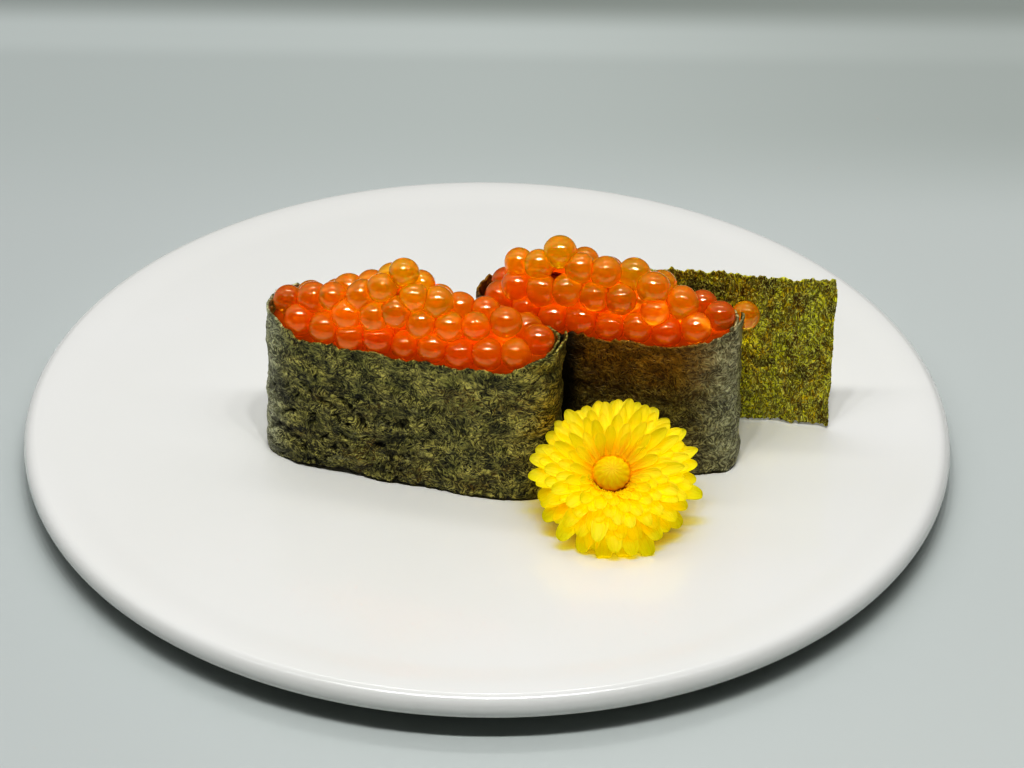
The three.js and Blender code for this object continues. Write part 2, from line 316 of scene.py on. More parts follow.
def slab(
    middle: Array, normals: Array, thickness: Array | float, flat: Array, shades: dict[str, Array]
) -> Shell:
    """Gives a curved sheet its thickness: half of it on each side, and a wall round the border.

    Args:
        middle: Points midway through the sheet, as rows by columns by 3.
        normals: Unit normals at those points.
        thickness: Thickness in all, at each point or everywhere.
        flat: Place of each point on the unrolled sheet, as rows by columns by 2.
        shades: Named values at the points, as rows by columns.

    Returns:
        The closed shell, its faces outwards.
    """
    rows, columns, _ = middle.shape
    half = np.broadcast_to(np.asarray(thickness, float), (rows, columns))[..., None] / 2
    numbers = np.arange(rows * columns).reshape(rows, columns)
    border = np.concatenate([numbers[0, :-1], numbers[:-1, -1], numbers[-1, :0:-1], numbers[:0:-1, 0]])
    after = np.roll(border, -1)
    behind = rows * columns
    front = grid_faces(rows, columns)
    back = grid_faces(rows, columns, flipped=True) + behind
    wall = coords(border, border + behind, after + behind, after)
    sides = [(middle + normals * half).reshape(-1, 3), (middle - normals * half).reshape(-1, 3)]
    return Shell(
        points=np.concatenate(sides),
        quads=np.concatenate([front, back, wall]),
        shades={key: np.tile(values.ravel(), 2) for key, values in shades.items()},
        flat=np.tile(flat.reshape(-1, 2), (2, 1)),
    ).outwards()


def capped_rings(rings: Array) -> Shell:
    """Closes a stack of rings with a pole at either end, at the mean of the first and the last ring.

    Args:
        rings: Points of the rings, as rings by points by 3.

    Returns:
        The closed shell, its faces outwards.
    """
    rows, columns, _ = rings.shape
    poles = np.stack([rings[0].mean(0), rings[-1].mean(0)])
    here = np.arange(columns)
    after = (here + 1) % columns
    last = (rows - 1) * columns
    return Shell(
        points=np.concatenate([rings.reshape(-1, 3), poles]),
        quads=grid_faces(rows, columns, closed=True),
        triangles=np.concatenate([
            coords(rows * columns, after, here),
            coords(rows * columns + 1, last + here, last + after),
        ]),
    ).outwards()


def lathe(profile: Array, segments: int) -> Shell:
    """Turns a profile about Z: ring k has radius profile[k, 0] and height profile[k, 1].

    Args:
        profile: Radius and height of each ring, from end to end. Neither end is at radius 0.
        segments: Points in a ring.

    Returns:
        The closed shell.
    """
    angle = np.arange(segments) * 2 * np.pi / segments
    radius, height = profile[:, :1], profile[:, 1:]
    return capped_rings(coords(radius * np.cos(angle), radius * np.sin(angle), height))


def ball(segments: int, rings: int) -> Shell:
    """A ball of radius 1: rings at even steps of the angle from pole to pole."""
    polar = np.pi * (np.arange(rings) + 0.5) / rings
    return lathe(coords(np.sin(polar), np.cos(polar)), segments)


def random_turns(count: int, draw: np.random.Generator) -> Array:
    """Random turns, from unit quaternions.

    Args:
        count: How many.
        draw: Source of them.

    Returns:
        Their matrices, as count by 3 by 3.
    """
    quaternions = draw.normal(size=(4, count))
    w, x, y, z = quaternions / np.linalg.norm(quaternions, axis=0)
    return np.stack([
        coords(1 - 2 * (y * y + z * z), 2 * (x * y - z * w), 2 * (x * z + y * w)),
        coords(2 * (x * y + z * w), 1 - 2 * (x * x + z * z), 2 * (y * z - x * w)),
        coords(2 * (x * z - y * w), 2 * (y * z + x * w), 1 - 2 * (x * x + y * y)),
    ], axis=1)


class Nodes:
    """A node tree, laid out by short calls that return sockets."""

    def __init__(self, tree: bpy.types.NodeTree) -> None:
        """Takes a tree to lay out."""
        self.tree = tree

    def feed(self, socket: Socket, value: object) -> None:
        """Links a socket to another one, or sets it to a constant.

        Args:
            socket: The input.
            value: An output or the constant.
        """
        if isinstance(value, bpy.types.NodeSocket):
            self.tree.links.new(value, socket)
        else:
            socket.default_value = value

    def node(self, kind: str, inputs: dict[str | int, object], **settings: object) -> bpy.types.Node:
        """Adds a node.

        Args:
            kind: Blender's name for the node.
            inputs: What each named or numbered input gets.
            **settings: The node's own properties.

        Returns:
            The new node.
        """
        made = self.tree.nodes.new(kind)
        for key, value in settings.items():
            setattr(made, key, value)
        for key, value in inputs.items():
            self.feed(made.inputs[key], value)
        return made

    def parts(self, vector: Socket) -> bpy.types.NodeOutputs:
        """The three coordinates of a vector."""
        return self.node("ShaderNodeSeparateXYZ", {0: vector}).outputs

    def math(self, operation: str, *values: object) -> Socket:
        """One step of arithmetic."""
        return self.node("ShaderNodeMath", dict(enumerate(values)), operation=operation).outputs[0]

    def step(self, value: Socket, low: float, high: float, bottom: float = 0.0, top: float = 1.0) -> Socket:
        """Goes smoothly from bottom to top as value goes from low to high."""
        inputs = {0: value, 1: low, 2: high, 3: bottom, 4: top}
        return self.node("ShaderNodeMapRange", inputs, interpolation_type="SMOOTHSTEP").outputs[0]


class Board(Nodes):
    """The node tree of one material, with a principled surface."""

    def __init__(self, name: str) -> None:
        """Starts a material that holds a principled surface and its output.

        Args:
            name: Name of the material.
        """
        self.material = bpy.data.materials.new(name)
        self.material.use_nodes = True
        super().__init__(self.material.node_tree)
        self.tree.nodes.clear()
        self.surface = self.tree.nodes.new("ShaderNodeBsdfPrincipled")
        self.output = self.tree.nodes.new("ShaderNodeOutputMaterial")
        self.feed(self.output.inputs["Surface"], self.surface.outputs[0])

    def set(self, **inputs: object) -> None:
        """Feeds the principled surface's inputs, whose spaces are underscores here."""
        for key, value in inputs.items():
            self.feed(self.surface.inputs[key.replace("_", " ").title().replace("Ior", "IOR")], value)

    def place(self) -> Socket:
        """Position on the object in millimetres."""
        return self.scaled(self.node("ShaderNodeTexCoord", {}).outputs["Object"], (1 / MM,) * 3)

    def flat(self) -> Socket:
        """Place on the unrolled sheet, as the piece's UV map holds it."""
        return self.node("ShaderNodeUVMap", {}, uv_map="flat").outputs[0]

    def shade(self, name: str) -> Socket:
        """A named value at the points of the piece."""
        return self.node("ShaderNodeAttribute", {}, attribute_name=name).outputs["Fac"]

    def vector(self, operation: str, *values: object) -> Socket:
        """One step of arithmetic on vectors."""
        return self.node("ShaderNodeVectorMath", dict(enumerate(values)), operation=operation).outputs[0]

    def scaled(self, where: Socket, scale: Triple) -> Socket:
        """Scales a place along each axis."""
        return self.vector("MULTIPLY", where, scale)

    def shifted(self, where: Socket, shift: Triple) -> Socket:
        """Shifts a place."""
        return self.vector("ADD", where, shift)

    def clouds(
        self, where: Socket, scale: float, detail: float = 2.0, rough: float = 0.5, bend: float = 0.0
    ) -> bpy.types.Node:
        """Noise with scale clouds to the unit, detail finer layers and a rough share for each."""
        inputs = {"Vector": where, "Scale": scale, "Detail": detail, "Roughness": rough, "Distortion": bend}
        return self.node("ShaderNodeTexNoise", inputs)

    def noise(self, where: Socket, scale: float, *shape: float) -> Socket:
        """Clouds as a value from 0 to 1 about 0.5."""
        return self.clouds(where, scale, *shape).outputs[0]

    def mix(self, share: Socket | float, under: Socket | Colour, over: Socket | Colour) -> Socket:
        """Mixes two colours."""
        return self.node("ShaderNodeMix", {0: share, 6: under, 7: over}, data_type="RGBA").outputs[2]

    def layers(
        self, under: Socket | Colour, *over: tuple[Socket | float, Socket | Colour]
    ) -> Socket | Colour:
        """Lays colours over one another.

        Args:
            under: The lowest colour.
            *over: How much each further layer covers, and its colour.

        Returns:
            What shows of them all.
        """
        for share, colour in over:
            under = self.mix(share, under, colour)
        return under

    def bump(self, height: Socket, depth: float) -> Socket:
        """Normal of a relief that is depth millimetres deep."""
        inputs = {"Height": height, "Distance": depth * MM, "Strength": 1.0}
        return self.node("ShaderNodeBump", inputs).outputs[0]

    def let_light_through(self, tint: Colour) -> None:
        """Lets rays from lamps through the surface, so that they reach what is behind it.

        Args:
            tint: Colour that the light takes on the way.
        """
        clear = self.node("ShaderNodeBsdfTransparent", {"Color": tint}).outputs[0]
        lamp_ray = self.node("ShaderNodeLightPath", {}).outputs["Is Shadow Ray"]
        both = self.node("ShaderNodeMixShader", {0: lamp_ray, 1: self.surface.outputs[0], 2: clear})
        self.feed(self.output.inputs["Surface"], both.outputs[0])

    def cells(self, where: Socket, size: float, wobble: float, *clouds: float) -> tuple[Socket, Socket]:
        """Cells with ragged borders, each with three random values from 0 to 1 of its own.

        Args:
            where: Place in millimetres.
            size: Usual size of a cell.
            wobble: How far clouds bend the borders, as a share of the size.
            *clouds: Clouds to a cell, their detail and how rough they are.

        Returns:
            The bent place, and the cell's own values there.
        """
        scale, *shape = clouds
        tangle = self.clouds(where, scale / size, *shape).outputs[1]
        bent = self.vector("MULTIPLY_ADD", tangle, (wobble * size,) * 3, where)
        inputs = {"Vector": bent, "Scale": 1 / size}
        return bent, self.node("ShaderNodeTexVoronoi", inputs, voronoi_dimensions="2D").outputs["Color"]

    def strands(self, where: Socket, cell: float, length: float, width: float, shift: float) -> Socket:
        """Felted fibres: small cells, each with its own direction, hold short fibres that lie one way.

        A fibre is the contour at the middle level of a noise that is stretched along the direction.

        Args:
            where: Place in millimetres.
            cell: Usual size of a cell.
            length: Usual length of a fibre.
            width: Usual width of a fibre.
            shift: Offset that keeps two layers apart.

        Returns:
            1 along the fibres and 0 between them.
        """
        bent, own = self.cells(self.shifted(where, (shift, 2 * shift, 0.0)), cell, 0.9, 1.1, 1.0)
        inputs = {"Vector": bent, "Angle": self.math("MULTIPLY", self.parts(own)[0], 2 * math.pi)}
        turned = self.node("ShaderNodeVectorRotate", inputs, rotation_type="Z_AXIS").outputs[0]
        stretched = self.scaled(turned, (1 / length, 1 / width, 1.0))
        apart = self.vector("MULTIPLY_ADD", own, (50.0,) * 3, stretched)
        off_middle = self.math("SUBTRACT", self.noise(apart, 1.0, 1.0, 0.5, 0.4), 0.5)
        return self.step(self.math("ABSOLUTE", off_middle), 0.0, 0.12, 1.0, 0.0)

    def flakes(self, where: Socket, size: float, shift: float) -> Socket:
        """A random value from 0 to 1 on each of many flakes with ragged outlines."""
        _, own = self.cells(self.shifted(where, (shift, 3 * shift, 0.0)), size, 1.4, 0.9, 3.0, 0.65)
        return self.parts(own)[0]


@dataclass(frozen=True)
class Finish:
    """A surface finish. Each kind lays out its own shader in paint.

    Attributes:
        name: Name of the material.
    """

    name: str

    def material(self) -> bpy.types.Material:
        """The finish's material, made at the first call and shared after it.

        Returns:
            The material.
        """
        made = bpy.data.materials.get(self.name)
        if made is None:
            board = Board(self.name)
            self.paint(board)
            made = board.material
        return made

    def paint(self, board: Board) -> None:
        """Lays out the shader on a board."""
        raise NotImplementedError


@dataclass(frozen=True)
class Glaze(Finish):
    """White glaze over stoneware, a little wavy."""

    name: str = "white_glaze"

    def paint(self, board: Board) -> None:
        """Warm white with a faint cloudiness, glossy, with a very shallow ripple.

        Args:
            board: The board to lay it out on.
        """
        place = board.place()
        cloud = board.noise(place, 0.02, 3.0)
        ripple = board.noise(place, 0.12)
        board.set(
            base_color=board.mix(cloud, srgb(235, 235, 231), srgb(240, 240, 238)),
            roughness=0.16,
            ior=1.5,
            normal=board.bump(ripple, 0.05),
        )


class Nori(Enum):
    """The two states of nori on the plate. The value is the weight of the film on it."""

    DAMP = 0.25
    TOASTED = 0.1


@dataclass(frozen=True)
class NoriFinish(Finish):
    """Pressed laver: a felt of short fibres, with thin and thick patches.

    Attributes:
        name: Name of the material.
        state: Whether the sheet is damp from the rice, or dry and toasted.
        depth: Share of dark brown mixed in all over the strip.
    """

    name: str
    state: Nori
    depth: float = 0.0

    def paint(self, board: Board) -> None:
        """Two layers of fibres over a mottled ground, whose flakes stand up a little.

        Args:
            board: The board to lay it out on.
        """
        flat = board.scaled(board.flat(), (1 / MM, 1 / MM, 1.0))
        lay_out = self.damp if self.state is Nori.DAMP else self.toasted
        colour, felt, gaps, flakes = lay_out(board, flat)
        relief = board.math("SUBTRACT", board.math("MULTIPLY_ADD", flakes, 0.5, felt), gaps)
        board.set(
            base_color=colour,
            roughness=0.45,
            ior=1.5,
            coat_weight=self.state.value,
            coat_roughness=0.25,
            normal=board.bump(relief, 0.22),
        )

    def damp(self, board: Board, flat: Socket) -> tuple[Socket, Socket, Socket, Socket]:
        """Dark olive with pale fibres, patchy, with painted sheen on the ends and the furrows' lips, and
        painted shade, nearly black, in the furrows and wrinkles.

        Args:
            board: The board to lay it out on.
            flat: Place on the unrolled strip in millimetres.

        Returns:
            The colour, the fibres, the gaps between them and the flakes.
        """
        wide = board.scaled(flat, (0.5, 1.0, 1.0))
        patches = board.noise(wide, 0.3, 5.0, 0.65, 0.8)
        apart = board.noise(board.shifted(wide, (90.0, 10.0, 0.0)), 0.35, 3.0)
        warm = board.noise(board.shifted(flat, (40.0, 40.0, 0.0)), 0.1)
        fine = board.strands(flat, cell=2.5, length=2.4, width=0.66, shift=47.0)
        coarse = board.strands(flat, cell=4.0, length=3.8, width=1.0, shift=11.0)
        felt = board.math("MAXIMUM", board.math("MULTIPLY", coarse, 0.75), fine)
        felt = board.math("MULTIPLY", felt, board.step(apart, 0.35, 0.6, 0.65, 1.0))
        gaps = board.strands(flat, cell=2.7, length=2.4, width=0.7, shift=83.0)
        gaps = board.math("MULTIPLY", gaps, board.step(apart, 0.6, 0.4, 0.5, 0.85))
        flakes = board.flakes(flat, size=1.3, shift=31.0)
        bright = board.mix(board.step(patches, 0.38, 0.6), srgb(184, 182, 108), srgb(246, 238, 150))
        brown = board.mix(felt, srgb(124, 84, 8), srgb(196, 146, 34))
        # Painted sheen: the pale colour of the ends where light grazes them, and of the furrows' lips.
        pale = board.layers(srgb(176, 176, 134), (felt, srgb(246, 246, 208)), (gaps, srgb(84, 84, 56)))
        colour = board.layers(
            srgb(76, 80, 48),
            (board.step(patches, 0.4, 0.6), srgb(136, 130, 66)),
            (board.step(warm, 0.5, 0.7, 0.0, 0.6), srgb(160, 122, 42)),
            (board.step(flakes, 0.6, 1.0, 0.0, 0.7), srgb(206, 200, 116)),
            (board.step(flakes, 0.35, 0.0, 0.0, 0.9), srgb(18, 22, 12)),
            (felt, bright),
            # Near-black gaps between the fibres: the nori's grain, with painted shade between the fibres.
            (gaps, srgb(14, 16, 8)),
            (self.depth, srgb(84, 60, 6)),
            (board.shade("warm"), brown),
            # Painted sheen on the ends and the furrows' lips.
            (board.shade("worn"), pale),
            # Painted shade in the furrows and wrinkles, and a painted shadow just behind the other bite.
            (board.shade("crease"), srgb(18, 18, 12)),
        )
        return colour, felt, gaps, flakes

    def toasted(self, board: Board, flat: Socket) -> tuple[Socket, Socket, Socket, Socket]:
        """Yellow green with brown gaps, finely grained, its grain stretched upwards.

        Args:
            board: The board to lay it out on.
            flat: Place on the sheet in millimetres.

        Returns:
            The colour, the fibres, the gaps between them and the flakes.
        """
        upright = board.scaled(flat, (1.3, 0.75, 1.0))
        patches = board.noise(board.scaled(flat, (1.0, 0.4, 1.0)), 0.3, 4.0, 0.6, 0.6)
        fine = board.strands(upright, cell=1.3, length=1.3, width=0.66, shift=47.0)
        felt = board.math("MULTIPLY", fine, 0.9)
        gaps = board.strands(upright, cell=1.4, length=1.4, width=0.66, shift=83.0)
        flakes = board.flakes(upright, size=1.1, shift=31.0)
        big_flakes = board.flakes(flat, size=3.0, shift=77.0)
        colour = board.layers(
            srgb(236, 206, 20),
            (board.step(patches, 0.4, 0.6), srgb(255, 253, 60)),
            (board.step(flakes, 0.5, 1.0, 0.0, 0.9), srgb(254, 255, 84)),
            (board.step(flakes, 0.3, 0.0, 0.0, 0.8), srgb(104, 68, 8)),
            (board.step(big_flakes, 0.16, 0.0, 0.0, 0.8), srgb(70, 66, 20)),
            (felt, srgb(255, 254, 150)),
            # Brown gaps between the fibres: the nori's grain, with painted shade between the fibres.
            (board.math("MULTIPLY", gaps, 0.7), srgb(84, 58, 8)),
        )
        return colour, felt, gaps, flakes


@dataclass(frozen=True)
class EggFinish(Finish):
    """Salmon egg: a clear tinted ball under a thin wrinkled skin."""

    name: str = "salmon_egg"

    def paint(self, board: Board) -> None:
        """Half clear and half cloudy, amber to red orange by the egg's tone, with a painted glow, yellower,
        on its lower side where light through the egg gathers.

        Two bumps, a slow one on the egg and a livelier one on its wet film, break the glints.

        Args:
            board: The board to lay it out on.
        """
        place = board.place()
        upright = board.parts(board.node("ShaderNodeNewGeometry", {}).outputs["Normal"])[2]
        colour = board.layers(
            srgb(254, 201, 32),
            (board.shade("tone"), srgb(250, 150, 11)),
            # Painted glow: the lower side is yellower, for the light that gathers there through the egg.
            (board.step(upright, 0.3, -0.8), srgb(255, 222, 50)),
        )
        board.set(
            base_color=colour,
            roughness=0.03,
            ior=1.36,
            specular_ior_level=0.2,
            transmission_weight=0.58,
            subsurface_weight=1.0,
            subsurface_radius=(1.0, 0.5, 0.15),
            subsurface_scale=0.003,
            coat_weight=1.0,
            coat_roughness=0.0,
            coat_ior=1.74,
            normal=board.bump(board.noise(place, 0.4), 0.05),
            coat_normal=board.bump(board.noise(place, 1.1), 0.035),
        )
        board.let_light_through(srgb(255, 246, 212))


@dataclass(frozen=True)
class PulpFinish(Finish):
    """What shows between the eggs: the wet depth of the heap."""

    name: str = "roe_depth"

    def paint(self, board: Board) -> None:
        """Saturated red orange, cloudy, wet."""
        cloud = board.noise(board.place(), 0.4)
        board.set(base_color=board.mix(cloud, srgb(180, 88, 6), srgb(204, 112, 10)), roughness=0.2)


@dataclass(frozen=True)
class RiceFinish(Finish):
    """Cooked rice: milky white, moist."""

    name: str = "cooked_rice"

    def paint(self, board: Board) -> None:
        """Milky white that lets a little light in.

        Args:
            board: The board to lay it out on.
        """
        cloud = board.noise(board.place(), 0.8)
        board.set(
            base_color=board.mix(cloud, srgb(226, 222, 208), srgb(243, 240, 230)),
            roughness=0.35,
            subsurface_weight=0.6,
            subsurface_radius=(1.0, 0.9, 0.7),
            subsurface_scale=0.0012,
        )


@dataclass(frozen=True)
class PetalFinish(Finish):
    """Yellow petal: light rim and tip, orange towards the base."""

    name: str = "chrysanthemum_petal"

    def paint(self, board: Board) -> None:
        """Colour by place on the petal: the UV map holds across from 0 to 1 and along from 0 to 1.

        Args:
            board: The board to lay it out on.
        """
        across, along, _ = board.parts(board.flat())
        off_centre = board.math("ABSOLUTE", board.math("MULTIPLY_ADD", across, 2.0, -1.0))
        veins = board.noise(board.scaled(board.flat(), (16.0, 1.2, 1.0)), 1.0)
        # Painted shade, dark red brown, at the feet of the petals in front of the bud, in the crevice where
        # they meet it.
        brown = board.math("MULTIPLY", board.step(along, 0.3, 0.04), board.shade("foot"))
        rim = board.math("MULTIPLY", board.step(off_centre, 0.7, 1.0), board.step(along, 0.4, 0.9))
        colour = board.layers(
            srgb(255, 234, 6),
            (board.step(veins, 0.35, 0.65), srgb(255, 244, 14)),
            (board.shade("tone"), srgb(255, 214, 4)),
            (board.step(along, 0.65, 0.15), srgb(254, 206, 4)),
            (brown, srgb(120, 50, 6)),
            (board.math("MULTIPLY", rim, 0.35), srgb(255, 244, 70)),
        )
        board.set(
            base_color=colour,
            roughness=0.5,
            subsurface_weight=0.7,
            subsurface_radius=(1.0, 1.0, 0.15),
            subsurface_scale=0.0012,
            normal=board.bump(veins, 0.12),
        )
        board.let_light_through(srgb(250, 242, 120))


@dataclass(frozen=True)
class GreenFinish(Finish):
    """Green cup and stem behind the flower."""

    name: str = "flower_green"

    def paint(self, board: Board) -> None:
        """Dull green with darker lengthwise stripes."""
        stripes = board.noise(board.scaled(board.place(), (2.0, 2.0, 0.4)), 1.0)
        board.set(base_color=board.mix(stripes, srgb(84, 112, 44), srgb(132, 156, 78)), roughness=0.5)


@dataclass(frozen=True)
class TableFinish(Finish):
    """Pale painted board under the plate."""

    name: str = "pale_floor"

    def paint(self, board: Board) -> None:
        """Pale grey with a touch of green, dull, with the light's falloff painted in: darker towards the
        back, the back right and the left, with a painted reflection as a lighter band far behind.

        Args:
            board: The board to lay it out on.
        """
        x, y, _ = board.parts(board.place())
        # Painted falloff of the light at the back right.
        right = board.math("MULTIPLY", board.step(x, -20.0, 140.0, 0.0, 0.5), board.step(y, 100.0, 150.0))
        # Painted falloff of the light towards the back and the left, and a painted reflection as a lighter
        # band far behind.
        colour = board.layers(
            srgb(205, 210, 208),
            (board.step(y, 90.0, 150.0), srgb(199, 205, 202)),
            (board.step(y, 172.0, 183.0), srgb(208, 214, 211)),
            (board.step(y, 189.0, 207.0), srgb(161, 167, 162)),
            (right, srgb(176, 182, 178)),
            (board.step(x, 60.0, -160.0, 0.0, 0.25), srgb(182, 188, 189)),
        )
        board.set(base_color=colour, roughness=0.6)


def register(piece: bpy.types.Object, node: str) -> None:
    """Lets a piece ride on the part's body and stand for a CAD node.

    Args:
        piece: The finished object.
        node: The CAD node that it stands for, alone or with others.
    """
    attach(piece, BODY)
    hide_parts(node)
    LOG.info("%s: %d faces", piece.name, len(piece.data.polygons))


@dataclass(frozen=True)
class Plate:
    """Flat round plate with a thick rounded edge, a soft lip and a foot ring.

    Attributes:
        radius: Radius over all.
        lip: How far the lip's crest stands above the face.
        lip_radii: Where the lip starts to rise and where it is highest.
        edge_half: Half the thickness of the rounded edge.
        foot_radii: Inner and outer radius of the foot ring.
        underside: Height of the underside inside the foot ring.
        segments: Points in a ring.
    """

    radius: float = 100.0
    lip: float = 0.35
    lip_radii: Pair = (88.0, 95.5)
    edge_half: float = 3.0
    foot_radii: Pair = (58.0, 62.0)
    underside: float = 3.0
    segments: int = 256

    def profile(self) -> Array:
        """Radius and height from the middle of the face over the edge to the middle of the underside.

        The lip rises along a smoothstep from its inner radius to its crest. The edge is an arc about
        a centre half its height below the crest.

        Returns:
            One row for each ring.
        """
        crest = PLATE_FACE + self.lip
        rising = np.linspace(*self.lip_radii, 12)
        turn = np.pi * np.linspace(0.46, -0.5, 22)
        edge_radius = self.radius - self.edge_half + self.edge_half * np.cos(turn)
        inner, outer = self.foot_radii
        under = np.array([
            [80.0, 4.1],
            [outer + 2.0, self.underside + 0.4],
            [outer + 0.4, 0.5],
            [outer - 0.4, 0.0],
            [inner + 0.4, 0.0],
            [inner - 0.4, 0.5],
            [inner - 1.5, self.underside],
            [30.0, self.underside],
            [0.5, self.underside],
        ])
        return np.concatenate([
            coords(np.array([0.5, 20.0, 45.0, 70.0]), PLATE_FACE),
            coords(rising, PLATE_FACE + self.lip * smoothstep(*self.lip_radii, rising)),
            coords(edge_radius, crest - self.edge_half + self.edge_half * np.sin(turn)),
            under,
        ])

    def build(self) -> None:
        """Makes the plate and registers it."""
        piece = lathe(self.profile(), self.segments).to_object("plate_glazed", Glaze().material())
        register(piece, "plate")


@dataclass(frozen=True)
class BiteShape:
    """Plan and heights of one wrapped bite, long axis along X, and the relief, colour and painted light
    and shade of its nori.

    Attributes:
        name: Which bite it is, as the CAD nodes' names end.
        centre: Middle of the plan on the plate.
        turn_degrees: Turn of the long axis about Z.
        half_length: Half the plan's length.
        half_width: Half its width.
        squareness: Power of the superellipse that the plan is.
        front_rim: Height of the nori along the front, where it sags.
        overlap: How far the loose end lies over the start.
        ridge: Heights of the top eggs' centres at stations along the long axis.
        seed: Seed of the bite's small irregularities.
        hem_lift: Place along the long axis where the lower edge stands off the plate. Past an end,
            it hardly does anywhere.
        furrows: How deep the furrows low on the left are, and how much painted shade lies in them, from 0 to
            1.
        curl: How far the loose end's upper corner curls out.
        brown: Share of dark brown mixed in all over the nori, and of a paler brown laid on towards the top.
        worn_left: How much painted sheen lies on the left end, from 0 to 1.
        worn_right: How much painted sheen lies on the right end.
        close: How much painted shadow lies on the front where it stands just behind the other bite.
    """

    name: str
    centre: Pair
    turn_degrees: float
    half_length: float
    half_width: float
    squareness: float
    front_rim: float
    overlap: float
    ridge: tuple[Pair, ...]
    seed: int
    hem_lift: float
    furrows: float = 0.0
    curl: float = 0.0
    brown: float = 0.0
    worn_left: float = 0.0
    worn_right: float = 0.0
    close: float = 0.0

    def walk(self, turn: Array, inset: float) -> tuple[Array, Array]:
        """Goes round the plan outline, counterclockwise from the right end.

        The outline is a superellipse: x and y are the half sizes times the cosine and the sine, each
        raised to 2 over the squareness and keeping its sign. Points are spaced by length.

        Args:
            turn: Shares of the way round.
            inset: How far inside the plan the outline runs.

        Returns:
            Points and outward unit normals, both in the plan.
        """
        angle = np.linspace(0, 2 * np.pi, 2881)
        power = 2 / self.squareness
        x = (self.half_length - inset) * np.sign(np.cos(angle)) * np.abs(np.cos(angle)) ** power
        y = (self.half_width - inset) * np.sign(np.sin(angle)) * np.abs(np.sin(angle)) ** power
        reached = np.concatenate([[0], np.cumsum(np.hypot(np.diff(x), np.diff(y)))])
        reached /= reached[-1]
        share = np.mod(turn, 1)
        step = 0.002
        behind, here, ahead = (
            coords(np.interp(place, reached, x), np.interp(place, reached, y))
            for place in (np.mod(share - step, 1), share, np.mod(share + step, 1))
        )
        way = (ahead - behind) / np.linalg.norm(ahead - behind, axis=-1, keepdims=True)
        return here, coords(way[..., 1], -way[..., 0])

    def around(self, inset: float) -> float:
        """Length of the outline at an inset."""
        point, _ = self.walk(np.linspace(0, 0.99999, 1441), inset)
        return float(np.hypot(*np.diff(point, axis=0).T).sum())

    def rim(self, x: Array, y: Array) -> Array:
        """Height of the nori's upper edge: level at the ends and back, sagging along the front.

        The sag is full from 0.8 of the way to the front on, and ends between 0.62 and 1 of the way
        to either end. A sine along the strip makes the edge a little wavy.

        Args:
            x: Place along the long axis.
            y: Place across it.

        Returns:
            The height above the plate's face.
        """
        towards_front = smoothstep(0, 0.8, -y / self.half_width)
        away_from_ends = 1 - smoothstep(0.62, 1, np.abs(x) / self.half_length)
        sag = (STRIP_HEIGHT - self.front_rim) * towards_front * away_from_ends
        return STRIP_HEIGHT - sag + 0.35 * np.sin(0.55 * x + self.seed)

    def hem(self, x: Array) -> Array:
        """Height of the nori's lower edge: a slow sine, and a bell curve where it is lifted.

        Args:
            x: Place along the long axis.

        Returns:
            The height above the plate's face.
        """
        lifted = 0.9 * np.exp(-(((x - self.hem_lift) / 6.0) ** 2))
        return GAP + 0.1 + 0.15 * (1 + np.sin(0.31 * x + 0.7 * self.seed)) + lifted

    def heap(self, x: Array, y: Array) -> Array:
        """Height of the eggs' centres on top: a ridge along the long axis that falls to the rim.

        Between stations the ridge follows a smoothstep. Across, it falls as the power 0.8 of 1 less
        the square of the share of the way to the nori.

        Args:
            x: Place along the long axis.
            y: Place across it.

        Returns:
            The height above the plate's face.
        """
        stations, heights = np.array(self.ridge).T
        k = np.clip(np.searchsorted(stations, x, side="left") - 1, 0, len(stations) - 2)
        ridge = between(heights[k], heights[k + 1], smoothstep(stations[k], stations[k + 1], x))
        edge = self.rim(x, y) + 0.2
        along = np.minimum(1, np.abs(x) / (self.half_length - EGG_INSET))
        reach = (self.half_width - EGG_INSET) * (1 - along ** self.squareness) ** (1 / self.squareness)
        across = np.minimum(1, np.abs(y) / np.maximum(reach, 0.5))
        return edge + np.maximum(0, ridge - edge) * (1 - across ** 2) ** 0.8

    def holds(self, x: Array, y: Array) -> Array:
        """Tells which eggs are clear of the nori: those inside the superellipse inset for eggs.

        Args:
            x: Places of their centres along the long axis.
            y: Places across it.

        Returns:
            True where an egg is clear.
        """
        along = np.abs(x / (self.half_length - EGG_INSET)) ** self.squareness
        across = np.abs(y / (self.half_width - EGG_INSET)) ** self.squareness
        return along + across <= 1

    def on_plate(self, shell: Shell) -> Shell:
        """Takes a shell from the bite's own axes to its place on the plate."""
        turn = turn_about(Axis.Z, math.radians(self.turn_degrees))
        return shell.moved(turn, np.array([*self.centre, PLATE_FACE]))


